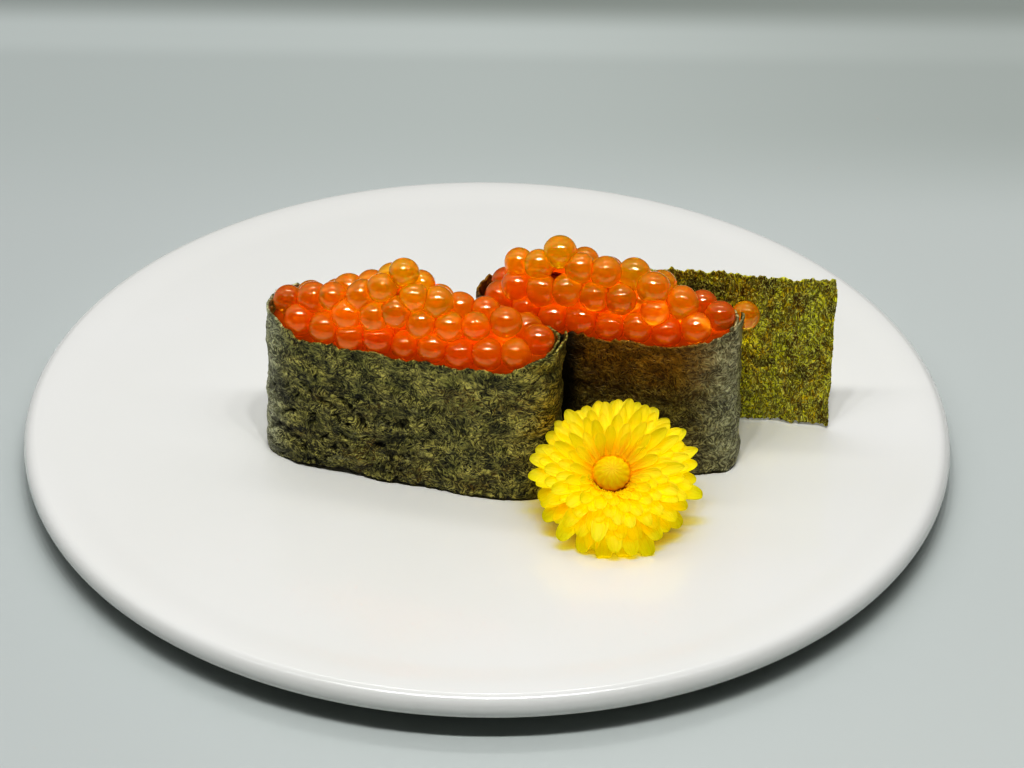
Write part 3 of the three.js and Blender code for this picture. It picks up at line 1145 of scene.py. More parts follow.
@dataclass(frozen=True)
class RicePad:
    """Rice inside a wrap: a lumpy core with cooked grains round its foot, where they show.

    Attributes:
        shape: The bite that it fills.
        inset: How far inside the plan it ends.
        grain: Length, thickness and width of a grain.
        grains_per_row: How many grains go round.
        row_heights: Heights of the rows' middles.
        floor: Lowest height of a grain above the plate's face.
    """

    shape: BiteShape
    inset: float = 1.9
    grain: Triple = (5.6, 1.764, 2.1)
    grains_per_row: int = 30
    row_heights: Triple = (1.5, 3.2, 4.9)
    floor: float = 0.1

    def core(self) -> Shell:
        """Rings that follow the bite's outline, from the floor up the wall and in over the top.

        Returns:
            The closed core.
        """
        outline, _ = self.shape.walk(np.arange(120) / 120, self.inset)
        share = np.array([0.05, 0.5, 0.96, 1.0, 1.0, 1.0, 0.96, 0.5, 0.05])
        height = np.array([0.5, 0.5, 0.5, 1.2, 10.0, 19.5, 20.6, 20.8, 20.9])
        x, y = (share[:, None] * side for side in outline.T)
        return capped_rings(coords(x, y, height[:, None]))

    def grains(self) -> Shell:
        """Long balls in rows along the outline, each tipped at random, and flat where it meets the plate.

        Returns:
            All the grains.
        """
        draw = np.random.default_rng(self.shape.seed + 50)
        rows = len(self.row_heights)
        turn = np.tile(np.arange(self.grains_per_row) / self.grains_per_row, rows)
        turn = turn + draw.uniform(-0.012, 0.012, len(turn))
        place, normal = self.shape.walk(turn, self.inset)
        height = np.repeat(self.row_heights, self.grains_per_row) + draw.uniform(-0.2, 0.3, len(turn))
        tip = draw.uniform(-0.5, 0.5, len(turn))
        along = coords(-normal[:, 1] * np.cos(tip), normal[:, 0] * np.cos(tip), np.sin(tip))
        out = coords(normal[:, 0], normal[:, 1], 0.0)
        axes = np.stack([out, np.cross(out, along), along], axis=1)
        pattern = ball(8, 5)
        size = draw.uniform(0.85, 1.1, len(turn))[:, None, None]
        length, thickness, width = self.grain
        local = pattern.points * size * [thickness / 2, width / 2, length / 2]
        points = local @ axes + coords(place[:, 0], place[:, 1], height)[:, None]
        points[..., 2] = np.maximum(points[..., 2], self.floor)
        return copies(pattern, points).outwards()

    def build(self) -> None:
        """Makes the rice of one bite and registers it."""
        node = f"rice_{self.shape.name}"
        shell = self.shape.on_plate(join([self.core(), self.grains()]))
        register(shell.to_object(f"{node}_grains", RiceFinish().material()), node)


@dataclass(frozen=True)
class NoriWrap:
    """Strip of damp nori that goes once round a bite, with its loose end over its start.

    Attributes:
        shape: The bite that it goes round.
        thickness: Thickness of the nori.
        layer_step: How far the loose end stands outside the start.
        flare: How far the foot stands out.
        columns: Points along the strip.
        rows: Points up it.
        rim_teeth: Unevenness of the upper edge.
        hem_teeth: Unevenness of the lower edge.
        wrinkles: Broad and fine wrinkles.
        bend: How far the furrows stray up and down.
        furrow_lines: Waves whose crossings of zero are the furrows.
        furrow_breaks: Waves that break the furrows.
        shadow_patches: Waves that darken patches between the furrows.
        furrow_width: Width of a furrow, and of the painted highlight on the lip beside it, in those waves.
        furrow_start: Shares of the way along the strip where the furrows begin.
        furrow_end: Shares where they end.
        furrow_top: Shares of the way up where they end.
    """

    shape: BiteShape
    thickness: float = 0.45
    layer_step: float = 0.75
    flare: float = 0.5
    columns: int = 450
    rows: int = 82
    rim_teeth: tuple[Ripples, ...] = (Ripples(0.16, 2.6, 0), Ripples(0.08, 0.9, 1))
    hem_teeth: tuple[Ripples, ...] = (Ripples(0.14, 3.2, 2), Ripples(0.08, 1.1, 3))
    wrinkles: tuple[Ripples, Ripples] = (Ripples(0.14, (9.0, 5.0), 4), Ripples(0.05, (2.6, 1.5), 5))
    bend: Ripples = Ripples(1.2, 6.0, 7)
    furrow_lines: Ripples = Ripples(1.0, (14.0, 4.6), 6)
    furrow_breaks: Ripples = Ripples(1.0, (5.0, 3.0), 8)
    shadow_patches: Ripples = Ripples(1.0, (14.0, 6.0), 9)
    furrow_width: Pair = (0.42, 0.35)
    furrow_start: Pair = (0.5, 0.57)
    furrow_end: Pair = (0.72, 0.84)
    furrow_top: Pair = (0.5, 0.85)

    def furrows(self, flat: Array, u: Array, v: Array) -> tuple[Array, Array, Array]:
        """Works out the furrows low on the left.

        They run where a stretched and bent wave crosses zero, as a bell curve across it, and another
        wave breaks them. A pale lip runs beside each.

        Args:
            flat: Place on the unrolled strip.
            u: Share of the way along the strip.
            v: Share of the way up.

        Returns:
            Depth of the furrows, painted shade between them and the painted highlight on their lips, from 0
            to 1.
        """
        seed = self.shape.seed
        strayed = flat + coords(0.0, self.bend.over(flat, seed))
        lines = self.furrow_lines.over(strayed, seed)
        low_left = smoothstep(*self.furrow_start, u) * (1 - smoothstep(*self.furrow_end, u))
        low_left = low_left * (1 - smoothstep(*self.furrow_top, v)) * self.shape.furrows
        broken = smoothstep(0.1, 0.9, self.furrow_breaks.over(flat, seed)) * low_left
        shadow = smoothstep(-0.3, 0.9, self.shadow_patches.over(flat, seed)) * low_left
        width, lip_width = self.furrow_width
        furrow = np.exp(-((lines / width) ** 2)) * broken
        # A painted highlight runs along the lip beside each furrow.
        lip = np.exp(-(((lines - 0.95) / lip_width) ** 2)) * broken
        return furrow, shadow, lip

    def shades(self, plan: Array, normal: Array, v: Array, dark: Array, lip: Array) -> dict[str, Array]:
        """Works out what the finish reads at the points.

        Args:
            plan: Points of the outline.
            normal: Its outward normals.
            v: Share of the way up.
            dark: Painted shade of the furrows, between them and in the wrinkles' valleys.
            lip: Painted highlight on the furrows' lips.

        Returns:
            The painted shade of the furrows and wrinkles, which also lays a painted shadow on the front just
            behind the other bite, the painted sheen on the ends and the furrows' lips, and the paler brown
            towards the top.
        """
        shape = self.shape
        # Painted shadow on the front, just behind the other bite.
        close = smoothstep(-2.0, -6.6, plan[..., 0]) * smoothstep(0.2, 0.8, -normal[..., 1])
        # Painted sheen on the ends that face left and right.
        left, right = (smoothstep(0.15, 0.55, side * normal[..., 0]) for side in (-1, 1))
        return {
            "crease": np.maximum(dark, shape.close * close),
            "worn": np.maximum(shape.worn_left * left + shape.worn_right * right, 0.4 * lip),
            "warm": 1.5 * shape.brown * smoothstep(0.45, 0.95, v),
        }

    def build(self) -> None:
        """Makes the strip, its wrinkles and its ragged edges, and registers it.

        A point at u along and v up stands on the outline at its share of the way round. It is pushed
        outwards by the outer layer's step where the loose end lies over the start, by a flare at the
        foot, by wrinkles and, at the loose end's upper corner, by a curl, and inwards by the furrows.
        """
        shape = self.shape
        around = shape.around(GAP)
        length = around + shape.overlap
        v, u = sheet_shares(self.rows, self.columns)
        turn = (u * length - 0.5 * shape.overlap) / around
        plan, normal = shape.walk(turn, GAP)
        run = u * length
        edge = coords(run, 0.0)
        top = shape.rim(plan[..., 0], plan[..., 1]) + relief(edge, self.rim_teeth, shape.seed)
        foot = shape.hem(plan[..., 0]) + relief(edge, self.hem_teeth, shape.seed)
        height = between(foot, top, v)
        flat = coords(run, height)
        broad, fine = (wrinkle.over(flat, shape.seed) for wrinkle in self.wrinkles)
        furrow, shadow, lip = self.furrows(flat, u, v)
        outer = self.layer_step * smoothstep(0.8, 0.97, turn + 0.5 * shape.overlap / around)
        curl = shape.curl * smoothstep(0.975, 1.0, u) * smoothstep(0.72, 1.0, v)
        push = outer + self.flare * (1 - v) ** 2 + curl + broad + fine - 0.7 * furrow
        out = coords(normal[..., 0], normal[..., 1], 0.0)
        middle = coords(plan[..., 0], plan[..., 1], height) + out * push[..., None]
        # Painted shade in the furrows, between them and in the valleys of the fine wrinkles.
        valleys = np.clip(-fine / self.wrinkles[1].height - 0.8, 0, 1)
        dark = np.clip(0.8 * furrow + 0.4 * shadow + 0.3 * valleys, 0, 0.9)
        shades = self.shades(plan, normal, v, dark, lip)
        shell = shape.on_plate(slab(middle, out, self.thickness, flat * MM, shades))
        node = f"nori_wrap_{shape.name}"
        finish = NoriFinish(f"damp_nori_{shape.name}", Nori.DAMP, shape.brown)
        register(shell.to_object(f"{node}_strip", finish.material()), node)


@dataclass(frozen=True)
class RoeHeap:
    """Heap of salmon eggs on a bite: a wet core with the eggs packed over it.

    Attributes:
        shape: The bite that it lies on.
        spacing: Distance between neighbours, as a share of an egg's width.
        second_depth: How far the second layer lies under the first.
        cloud_size: How many places on the surface the eggs may take.
        settling: How often the eggs push each other apart at the end.
        widest_gap: Where no gap is wider than this share of the spacing, the surface is full.
        sizes: Least and largest size of an egg.
        axes: Least and largest length of its axes.
        softness: How softly an egg is flattened where it presses on another.
        core_inset: How far inside the plan the core ends.
        core_depth: How far it lies under the eggs' centres.
        core_drop: How far below the rim its wall ends.
        core_shares: Shares of the way out where its dome has rings.
    """

    shape: BiteShape
    spacing: float = 0.9
    second_depth: float = 4.6
    cloud_size: int = 7000
    settling: int = 40
    widest_gap: float = 0.7
    sizes: Pair = (0.98, 1.14)
    axes: Pair = (0.95, 1.04)
    softness: float = 0.12
    core_inset: float = 1.1
    core_depth: float = 4.6
    core_drop: float = 3.2
    core_shares: tuple[float, ...] = (0.96, 0.85, 0.7, 0.5, 0.3, 0.05)

    def lifted(self, places: Array) -> Array:
        """Puts places in the plan on the heap's surface."""
        x, y = places.T
        return coords(x, y, self.shape.heap(x, y))

    def sunk(self, places: Array, depth: float) -> Array:
        """Puts places in the plan on the heap's surface and then moves them in along its normal.

        The normal comes from the surface's rises over a small step along X and Y.

        Args:
            places: Places in the plan.
            depth: How far they move in.

        Returns:
            The points.
        """
        step = 0.1
        x, y = places.T
        rise_x = (self.shape.heap(x + step, y) - self.shape.heap(x - step, y)) / (2 * step)
        rise_y = (self.shape.heap(x, y + step) - self.shape.heap(x, y - step)) / (2 * step)
        normal = coords(-rise_x, -rise_y, 1.0)
        normal /= np.linalg.norm(normal, axis=-1, keepdims=True)
        return self.lifted(places) - depth * normal

    def cloud(self) -> Array:
        """Places in the plan that lie evenly over the heap's sloping surface.

        Places are drawn evenly over the plan and kept in proportion to the surface's steepness.

        Returns:
            The places, one row each.
        """
        shape = self.shape
        draw = np.random.default_rng(shape.seed)
        places = draw.uniform(-1, 1, (20 * self.cloud_size, 2)) * [shape.half_length, shape.half_width]
        places = places[shape.holds(*places.T)]
        inward = self.sunk(places, 1.0) - self.lifted(places)
        steepness = np.minimum(1 / np.abs(inward[:, 2]), 8)
        chosen = draw.choice(len(places), self.cloud_size, replace=False, p=steepness / steepness.sum())
        return places[chosen]

    def settled(self, eggs: Array, surface: Array, fixed: int, apart: float, rounds: int) -> Array:
        """Lets eggs push each other apart. After each push they go to the nearest point of the surface.

        Args:
            eggs: Centres of the eggs.
            surface: Points that the loose ones stay on.
            fixed: How many of the first never move.
            apart: Distance that neighbours keep.
            rounds: How many pushes there are.

        Returns:
            The eggs' new centres.
        """
        for _ in range(rounds):
            away = eggs[:, None] - eggs[None]
            distance = np.linalg.norm(away, axis=-1) + 9 * apart * np.eye(len(eggs))
            push = np.clip(apart - distance, 0, None) / distance
            moved = eggs[fixed:] + 0.4 * (away * push[..., None]).sum(1)[fixed:]
            gap = ((moved[:, None] - surface[None]) ** 2).sum(-1)
            eggs = np.concatenate([eggs[:fixed], surface[gap.argmin(1)]])
        return eggs

    def pack(self, surface: Array, eggs: Array, apart: float) -> Array:
        """Fills a surface with eggs: each new one goes to the widest gap, then all push each other apart.

        Args:
            surface: Many points on the surface, which the new eggs stay on.
            eggs: Eggs that are there already and never move.
            apart: Distance that neighbours keep.

        Returns:
            All the eggs' centres.
        """
        fixed = len(eggs)
        while True:
            gap = np.linalg.norm(surface[:, None] - eggs[None], axis=-1).min(1)
            if gap.max() < self.widest_gap * apart:
                return self.settled(eggs, surface, fixed, apart, self.settling)
            eggs = np.concatenate([eggs, surface[gap.argmax()][None]])
            eggs = self.settled(eggs, surface, fixed, apart, 2)

    def centres(self) -> Array:
        """Centres of the eggs: a ring along the nori, the heap's skin, and a second layer under it.

        Returns:
            The centres, one row each.
        """
        shape = self.shape
        apart = 2 * EGG_RADIUS * self.spacing
        count = int(shape.around(EGG_INSET) / apart)
        ring, _ = shape.walk(np.arange(count) / count, EGG_INSET)
        cloud = self.cloud()
        skin = self.pack(self.lifted(cloud), self.lifted(0.995 * ring), apart)
        below = self.sunk(cloud, self.second_depth)
        below = below[below[:, 2] > RICE_TOP + 1]
        gap = np.linalg.norm(below[:, None] - skin[None], axis=-1).min(1)
        return self.pack(below[gap > 0.8 * apart], skin, apart)

    def eggs(self, centres: Array) -> Shell:
        """Slightly uneven balls, flattened where they press on each other.

        A point that passes the plane midway between two eggs is drawn back to it, softly, by the log
        of 1 plus the exponential of how far it passes. The tone is partly each egg's own, drawn at random,
        and partly painted: eggs towards the rim and below it are painted redder, as light through the eggs
        above them would be.

        Args:
            centres: Where the eggs are.

        Returns:
            All the eggs, with a tone from 0, amber, to 1, red orange.
        """
        draw = np.random.default_rng(self.shape.seed + 7)
        count = len(centres)
        pattern = ball(26, 16)
        radius = EGG_RADIUS * draw.uniform(*self.sizes, count)
        axes = draw.uniform(*self.axes, (count, 1, 3))
        local = np.einsum("nij,npj->npi", random_turns(count, draw), pattern.points[None] * axes)
        local *= radius[:, None, None]
        away = centres[None] - centres[:, None]
        distance = np.linalg.norm(away, axis=-1)
        for one, other in zip(*np.nonzero((distance > 0) & (distance < 2.1 * EGG_RADIUS))):
            direction = away[one, other] / distance[one, other]
            limit = distance[one, other] * radius[one] / (radius[one] + radius[other])
            past = np.logaddexp(0, (local[one] @ direction - limit) / self.softness)
            local[one] -= self.softness * past[:, None] * direction
        shell = copies(pattern, local + centres[:, None]).outwards()
        above_rim = centres[:, 2] - self.shape.rim(centres[:, 0], centres[:, 1])
        # The tone is the egg's own at random, deepened by painted shade lower in the heap.
        tone = np.clip(0.85 - 0.09 * above_rim + draw.uniform(-0.3, 0.25, count), 0, 1)
        shell.shades = {"tone": np.repeat(tone, len(pattern.points))}
        return shell

    def core(self) -> Shell:
        """Rings that follow the outline: a floor, a wall up to below the rim, and a dome below the eggs.

        Returns:
            The closed core.
        """
        (x, y), inner = (
            self.shape.walk(np.arange(140) / 140, inset)[0].T for inset in (self.core_inset, EGG_INSET)
        )
        floor = RICE_TOP + 1 + GAP
        rings = [
            coords(0.05 * x, 0.05 * y, floor),
            coords(x, y, floor),
            coords(x, y, self.shape.rim(x, y) - self.core_drop),
        ]
        for share in self.core_shares:
            depth = self.core_depth - self.core_drop * float(smoothstep(0.6, 1.0, share))
            rings.append(self.sunk(share * inner.T, depth))
        return capped_rings(np.stack(rings))

    def build(self) -> None:
        """Makes the eggs and what lies under them, and registers both."""
        node = f"roe_{self.shape.name}"
        centres = self.centres()
        LOG.info("%s: %d eggs", node, len(centres))
        eggs = self.shape.on_plate(self.eggs(centres))
        core = self.shape.on_plate(self.core())
        register(eggs.to_object(f"{node}_eggs", EggFinish().material()), node)
        register(core.to_object(f"{node}_depth", PulpFinish().material()), node)


@dataclass(frozen=True)
class Bite:
    """One bite: rice, the nori round it and the roe on top.

    Attributes:
        shape: Its plan, its heights, and the relief, colour and painted light and shade of its nori.
    """

    shape: BiteShape

    def build(self) -> None:
        """Makes the bite's pieces, from the inside out."""
        for layer in (RicePad, NoriWrap, RoeHeap):
            layer(self.shape).build()


@dataclass(frozen=True)
class StrayEgg:
    """The egg that has rolled off the rear bite and hangs between it and the standing sheet.

    Attributes:
        centre: Its middle above the plate's face.
        axes: Its half width, half depth and half height, in egg radii.
        tone: Its colour, from 0, amber, to 1, red orange.
    """

    centre: Triple = (54.4, -4.2, 29.8)
    axes: Triple = (0.97, 0.95, 1.0)
    tone: float = 0.45

    def build(self) -> None:
        """Makes the egg, a little taller than wide, and registers it."""
        shell = ball(40, 24)
        stretch = EGG_RADIUS * np.diag(self.axes)
        shell = shell.moved(stretch, np.array(self.centre) + [0, 0, PLATE_FACE])
        shell.shades = {"tone": np.full(len(shell.points), self.tone)}
        register(shell.to_object("stray_egg_clear", EggFinish().material()), "stray_egg")


@dataclass(frozen=True)
class StandingSheet:
    """Sheet of toasted nori on edge behind the rear bite, rippled, with ragged edges.

    Attributes:
        length: Length along the plate.
        height: Height of the upper edge above the plate's face.
        right_end: Where the right end's foot stands on the plate.
        turn_degrees: Turn of the sheet about Z.
        lean: How far the top of the right end leans back.
        lean_per_length: How much more the top of the left end does.
        thickness: Thickness of the nori.
        foot_height: Height of the lower edge, before its raggedness.
        floor: Least height of the lower edge.
        foot_teeth: Fine raggedness of the lower edge.
        top_teeth: Fine raggedness of the upper edge.
        lumps: Relief of the sheet.
        tears: Raggedness of the two ends.
        columns: Points along the sheet.
        rows: Points up it.
    """

    length: float = 60.0
    height: float = 36.4
    right_end: Pair = (73.3, -2.4)
    turn_degrees: float = -10.7
    lean: float = 1.7
    lean_per_length: float = -4.6
    thickness: float = 0.4
    foot_height: float = GAP + 0.4
    floor: float = 0.05
    foot_teeth: tuple[Ripples, ...] = (Ripples(0.16, 1.5, 3), Ripples(0.1, 0.7, 4))
    top_teeth: tuple[Ripples, ...] = (Ripples(0.16, 1.3, 5),)
    lumps: tuple[Ripples, ...] = (Ripples(0.05, 1.6, 6), Ripples(0.07, 4.0, 7))
    tears: tuple[Ripples, ...] = (Ripples(0.05, 1.1, 8), Ripples(0.12, 8.0, 9))
    columns: int = 250
    rows: int = 150

    def build(self) -> None:
        """Makes the sheet and registers it.

        A point at s along from the right end and v up leans back by the lean times v and ripples by
        two sines of s, with fine lumps on top. Its upper and lower edges are ragged by two sines and
        by short waves, its ends by waves of their height.
        """
        v, u = sheet_shares(self.rows, self.columns)
        s = u * self.length
        angle = math.radians(self.turn_degrees)
        along = np.array([-math.cos(angle), -math.sin(angle), 0])
        back = np.array([along[1], -along[0], 0])
        ragged = 0.4 * np.sin(1.3 * s) + 0.25 * np.sin(2.9 * s)
        edge = coords(s, 0.0)
        foot = np.maximum(self.foot_height + 0.3 * ragged + relief(edge, self.foot_teeth), self.floor)
        top = self.height + 0.5 * ragged + relief(edge, self.top_teeth)
        height = between(foot, top, v)
        flat = coords(s, height)
        ends = (u == 0) | (u == 1)
        torn = s + relief(coords(height, 0.0), self.tears) * ends
        ripple = 0.45 * np.sin(0.21 * s + 2.2 * v) + 0.2 * np.sin(0.6 * s)
        push = (self.lean + self.lean_per_length * u) * v + ripple + relief(flat, self.lumps)
        middle = torn[..., None] * along + push[..., None] * back
        middle += coords(*self.right_end, height + PLATE_FACE)
        shell = slab(middle, np.broadcast_to(back, middle.shape), self.thickness, flat * MM, {})
        finish = NoriFinish("toasted_nori", Nori.TOASTED)
        register(shell.to_object("nori_sheet_toasted", finish.material()), "nori_sheet")


@dataclass(frozen=True)
class Whorl:
    """Petals set at the golden angle, the first at the outside, or in an arc from left to right.

    Each pair without a note is its value for the first petal and for the last.

    Attributes:
        count: How many petals there are.
        start: Radius where a petal leaves the flower's base.
        reach: Radius of its tip.
        base: Height of its foot.
        slope: Degrees that it rises at its foot.
        tip_slope: Degrees that it rises at its tip.
        width: Its widest width.
        cup: How far its rims stand up, as a share of its width.
        tone: Its colour, from 0, yellow, to 1, deep yellow.
        seed: Seed of its unevenness.
        crowding: Power that keeps most tips near the outside, behind the bud and in front of it.
        roll: Degrees that the tips in front of the bud roll further down.
        heart: Place in the plan that the petals' feet stand round.
        foot: How much painted shade, dark red brown, lies on the petals' feet in front of the bud, from 0 to
            1.
        back_upright: Share of the slopes that the petals behind the bud keep.
        arc: Where above 0, the petals stand only in front, up to this angle to each side.
        uneven: Largest unevenness of the slope and the tip's slope in degrees, of the reach as a
            share, of the foot's height, of the power that shapes the tip, and of the tilt.
        tip_powers: Power that shapes the tip, behind the bud and in front of it.
        tip_start: Share of the way along where the tip begins to narrow.
        foot_width: Width of the foot, as a share of the widest.
        groove: Depth of the grooves.
        thickness: Thickness of a petal's middle.
        least_thickness: Thickness of its rims.
        steps_along: Points along a petal.
        steps_across: Points across it.
    """

    count: int
    start: Pair
    reach: Pair
    base: Pair
    slope: Pair
    tip_slope: Pair
    width: Pair
    cup: Pair
    tone: Pair
    seed: int
    crowding: Pair = (1.0, 1.0)
    roll: float = 0.0
    heart: Pair = (-0.8, -0.8)
    foot: float = 0.0
    back_upright: float = 0.6
    arc: float = 0.0
    uneven: tuple[float, ...] = (5.0, 9.0, 0.065, 0.25, 0.35, 0.12)
    tip_powers: Pair = (2.0, 2.6)
    tip_start: float = 0.62
    foot_width: float = 0.42
    groove: float = 0.08
    thickness: float = 0.28
    least_thickness: float = 0.05
    steps_along: int = 17
    steps_across: int = 9

    def middle_line(self, share: float, front: float, along: Array, uneven: Array) -> tuple[Array, ...]:
        """Middle line of a petal, which leaves the base at one slope and turns evenly to another.

        Args:
            share: The petal's place in the whorl, from 0 outside to 1 inside.
            front: How far in front of the bud it stands, from 0 to 1.
            along: Shares of the way along it.
            uneven: The petal's own unevenness.

        Returns:
            Radius, height and slope in radians at each share.
        """
        upright = between(self.back_upright, 1.0, front)
        slope = np.radians(between(*self.slope, share) * upright + uneven[0])
        tip_slope = np.radians(between(*self.tip_slope, share) * upright - self.roll * front + uneven[1])
        angle = between(slope, tip_slope, along)
        middle_angle = (angle[1:] + angle[:-1]) / 2
        run = np.concatenate([[0], np.cumsum(np.cos(middle_angle) * np.diff(along))])
        rise = np.concatenate([[0], np.cumsum(np.sin(middle_angle) * np.diff(along))])
        start = between(*self.start, share)
        reach = between(*self.reach, share ** between(*self.crowding, front)) * (1 + uneven[2])
        length = (reach - start) / run[-1]
        return start + length * run, length * rise + between(*self.base, share) + uneven[3], angle

    def petal(self, share: float, azimuth: float, draw: np.random.Generator) -> Shell:
        """One strap-shaped petal.

        Its width grows to the tip, which narrows as the root p of 1 less the power p of the way
        through it: a small p gives the pointed tips behind the bud, a large one the round tips in
        front. Its rims stand up by the square of the way across, with two shallow grooves between
        them.

        Args:
            share: Its place in the whorl, from 0 outside to 1 inside.
            azimuth: Direction that it grows in, in radians.
            draw: Source of its unevenness.

        Returns:
            The petal in the flower's own axes.
        """
        uneven = draw.uniform(-1, 1, 6) * self.uneven
        front = float(smoothstep(-0.5, 0.7, -math.sin(azimuth)))
        along = np.sin(np.linspace(0, np.pi / 2, self.steps_along))
        across = np.sin(np.linspace(-np.pi / 2, np.pi / 2, self.steps_across))
        run, rise, angle = self.middle_line(share, front, along, uneven)
        power = between(*self.tip_powers, front) + uneven[4]
        through_tip = np.clip((along - self.tip_start) / (1 - self.tip_start), 0, 1)
        tip = np.maximum(np.clip(1 - through_tip ** power, 0, 1) ** (1 / power), 0.06)[:, None]
        width = between(self.foot_width, 1.0, smoothstep(0, 0.75, along))[:, None] * tip
        width = between(*self.width, share) * width
        rims = between(*self.cup, share) * width * across ** 2
        grooves = self.groove * np.cos(2.5 * np.pi * across) * tip
        along = along[:, None]
        lift = rims + grooves + uneven[5] * along * across * width
        normal = coords(-np.sin(angle), 0.0, np.cos(angle))[:, None]
        line = coords(run, 0.0, rise)[:, None] + coords(0.0, across * width / 2, 0.0)
        turn = turn_about(Axis.Z, azimuth)
        heart = np.array([*self.heart, 0.0]) @ turn
        middle = line + normal * lift[..., None] + (1 - along)[..., None] * heart
        size = middle.shape[:2]
        shades = {"tone": np.full(size, between(*self.tone, share)), "foot": np.full(size, self.foot * front)}
        thickness = np.maximum(self.thickness * tip * (1 - 0.6 * across ** 4), self.least_thickness)
        normals = np.broadcast_to(normal, middle.shape)
        petal = slab(middle, normals, thickness, coords((across + 1) / 2, along), shades)
        return petal.moved(turn, np.zeros(3))

    def petals(self) -> list[Shell]:
        """All petals of the whorl.

        Returns:
            The petals in the flower's own axes.
        """
        draw = np.random.default_rng(self.seed)
        made = []
        for k in range(self.count):
            share = k / (self.count - 1)
            azimuth = self.arc * (2 * share - 1) - 0.5 * np.pi if self.arc else k * GOLDEN_TURN
            azimuth += 0.06 * draw.uniform(-1, 1)
            made.append(self.petal(share, azimuth, draw))
        return made


@dataclass(frozen=True)
class Bud:
    """The closed bud: a dome whose small petals lie shut, with seams that wind to the top.

    Attributes:
        place: Its place in the flower's plan.
        radius: Its radius.
        foot: Height where it begins.
        height: Height of the dome.
        seams: How many seams wind each way.
        columns: Points round it.
        rows: Rings up it.
    """

    place: Pair = (-0.8, -0.8)
    radius: float = 4.15
    foot: float = 3.0
    height: float = 3.9
    seams: int = 13
    columns: int = 104
    rows: int = 26

    def seam(self, turn: Array, rise: Array, twist: float, shift: float) -> Array:
        """Seams that wind one way: the power 6 of the cosine of the turn, twisted with the height.

        Args:
            turn: Angle round the bud.
            rise: Angle up the dome.
            twist: How much the seams turn with the height.
            shift: Where they start.

        Returns:
            1 on a seam, falling to 0 beside it.
        """
        return np.abs(np.cos(0.5 * self.seams * turn + twist * rise + shift)) ** 6

    def shell(self) -> Shell:
        """The dome on a straight foot. Its skin dips a little at the seams.

        Returns:
            The closed bud. It takes painted shade in front, low down, where the petals meet it.
        """
        rise = 0.5 * np.pi * np.arange(self.rows) / self.rows
        rise, turn = np.meshgrid(rise, 2 * np.pi * np.arange(self.columns) / self.columns, indexing="ij")
        crossing = self.seam(turn, rise, -2.1, 0.8) * (rise > 0.7)
        seam = np.maximum(self.seam(turn, rise, 3.2, 0.0), crossing)
        radius = self.radius * np.cos(rise) ** 0.85 * (1 - 0.04 * seam * smoothstep(0.02, 0.3, rise))
        height = self.foot + self.height * np.sin(rise) * (1 - 0.02 * seam)
        x, y = self.place
        dome = coords(radius * np.cos(turn) + x, radius * np.sin(turn) + y, height)
        foot = coords(dome[:1, :, 0], dome[:1, :, 1], 0.2)
        shell = capped_rings(np.concatenate([foot * [0.1, 0.1, 1], foot, dome]))
        tone = 0.75 + 0.25 * seam + 0.2 * smoothstep(1.1, 1.5, rise)
        # Painted shade in front, low down, where the petals meet the bud.
        front = smoothstep(0.1, 0.8, -np.sin(turn))
        along = 0.6 * smoothstep(0.15, 0.8, rise)
        tone, front, along = (
            np.concatenate([np.full(2 * self.columns, below), shade.ravel(), np.full(2, below)])
            for shade, below in ((tone, 1.0), (front, 0.0), (along, 0.0))
        )
        shell.shades = {"tone": tone, "foot": front}
        shell.flat = coords(0.5, along)
        return shell


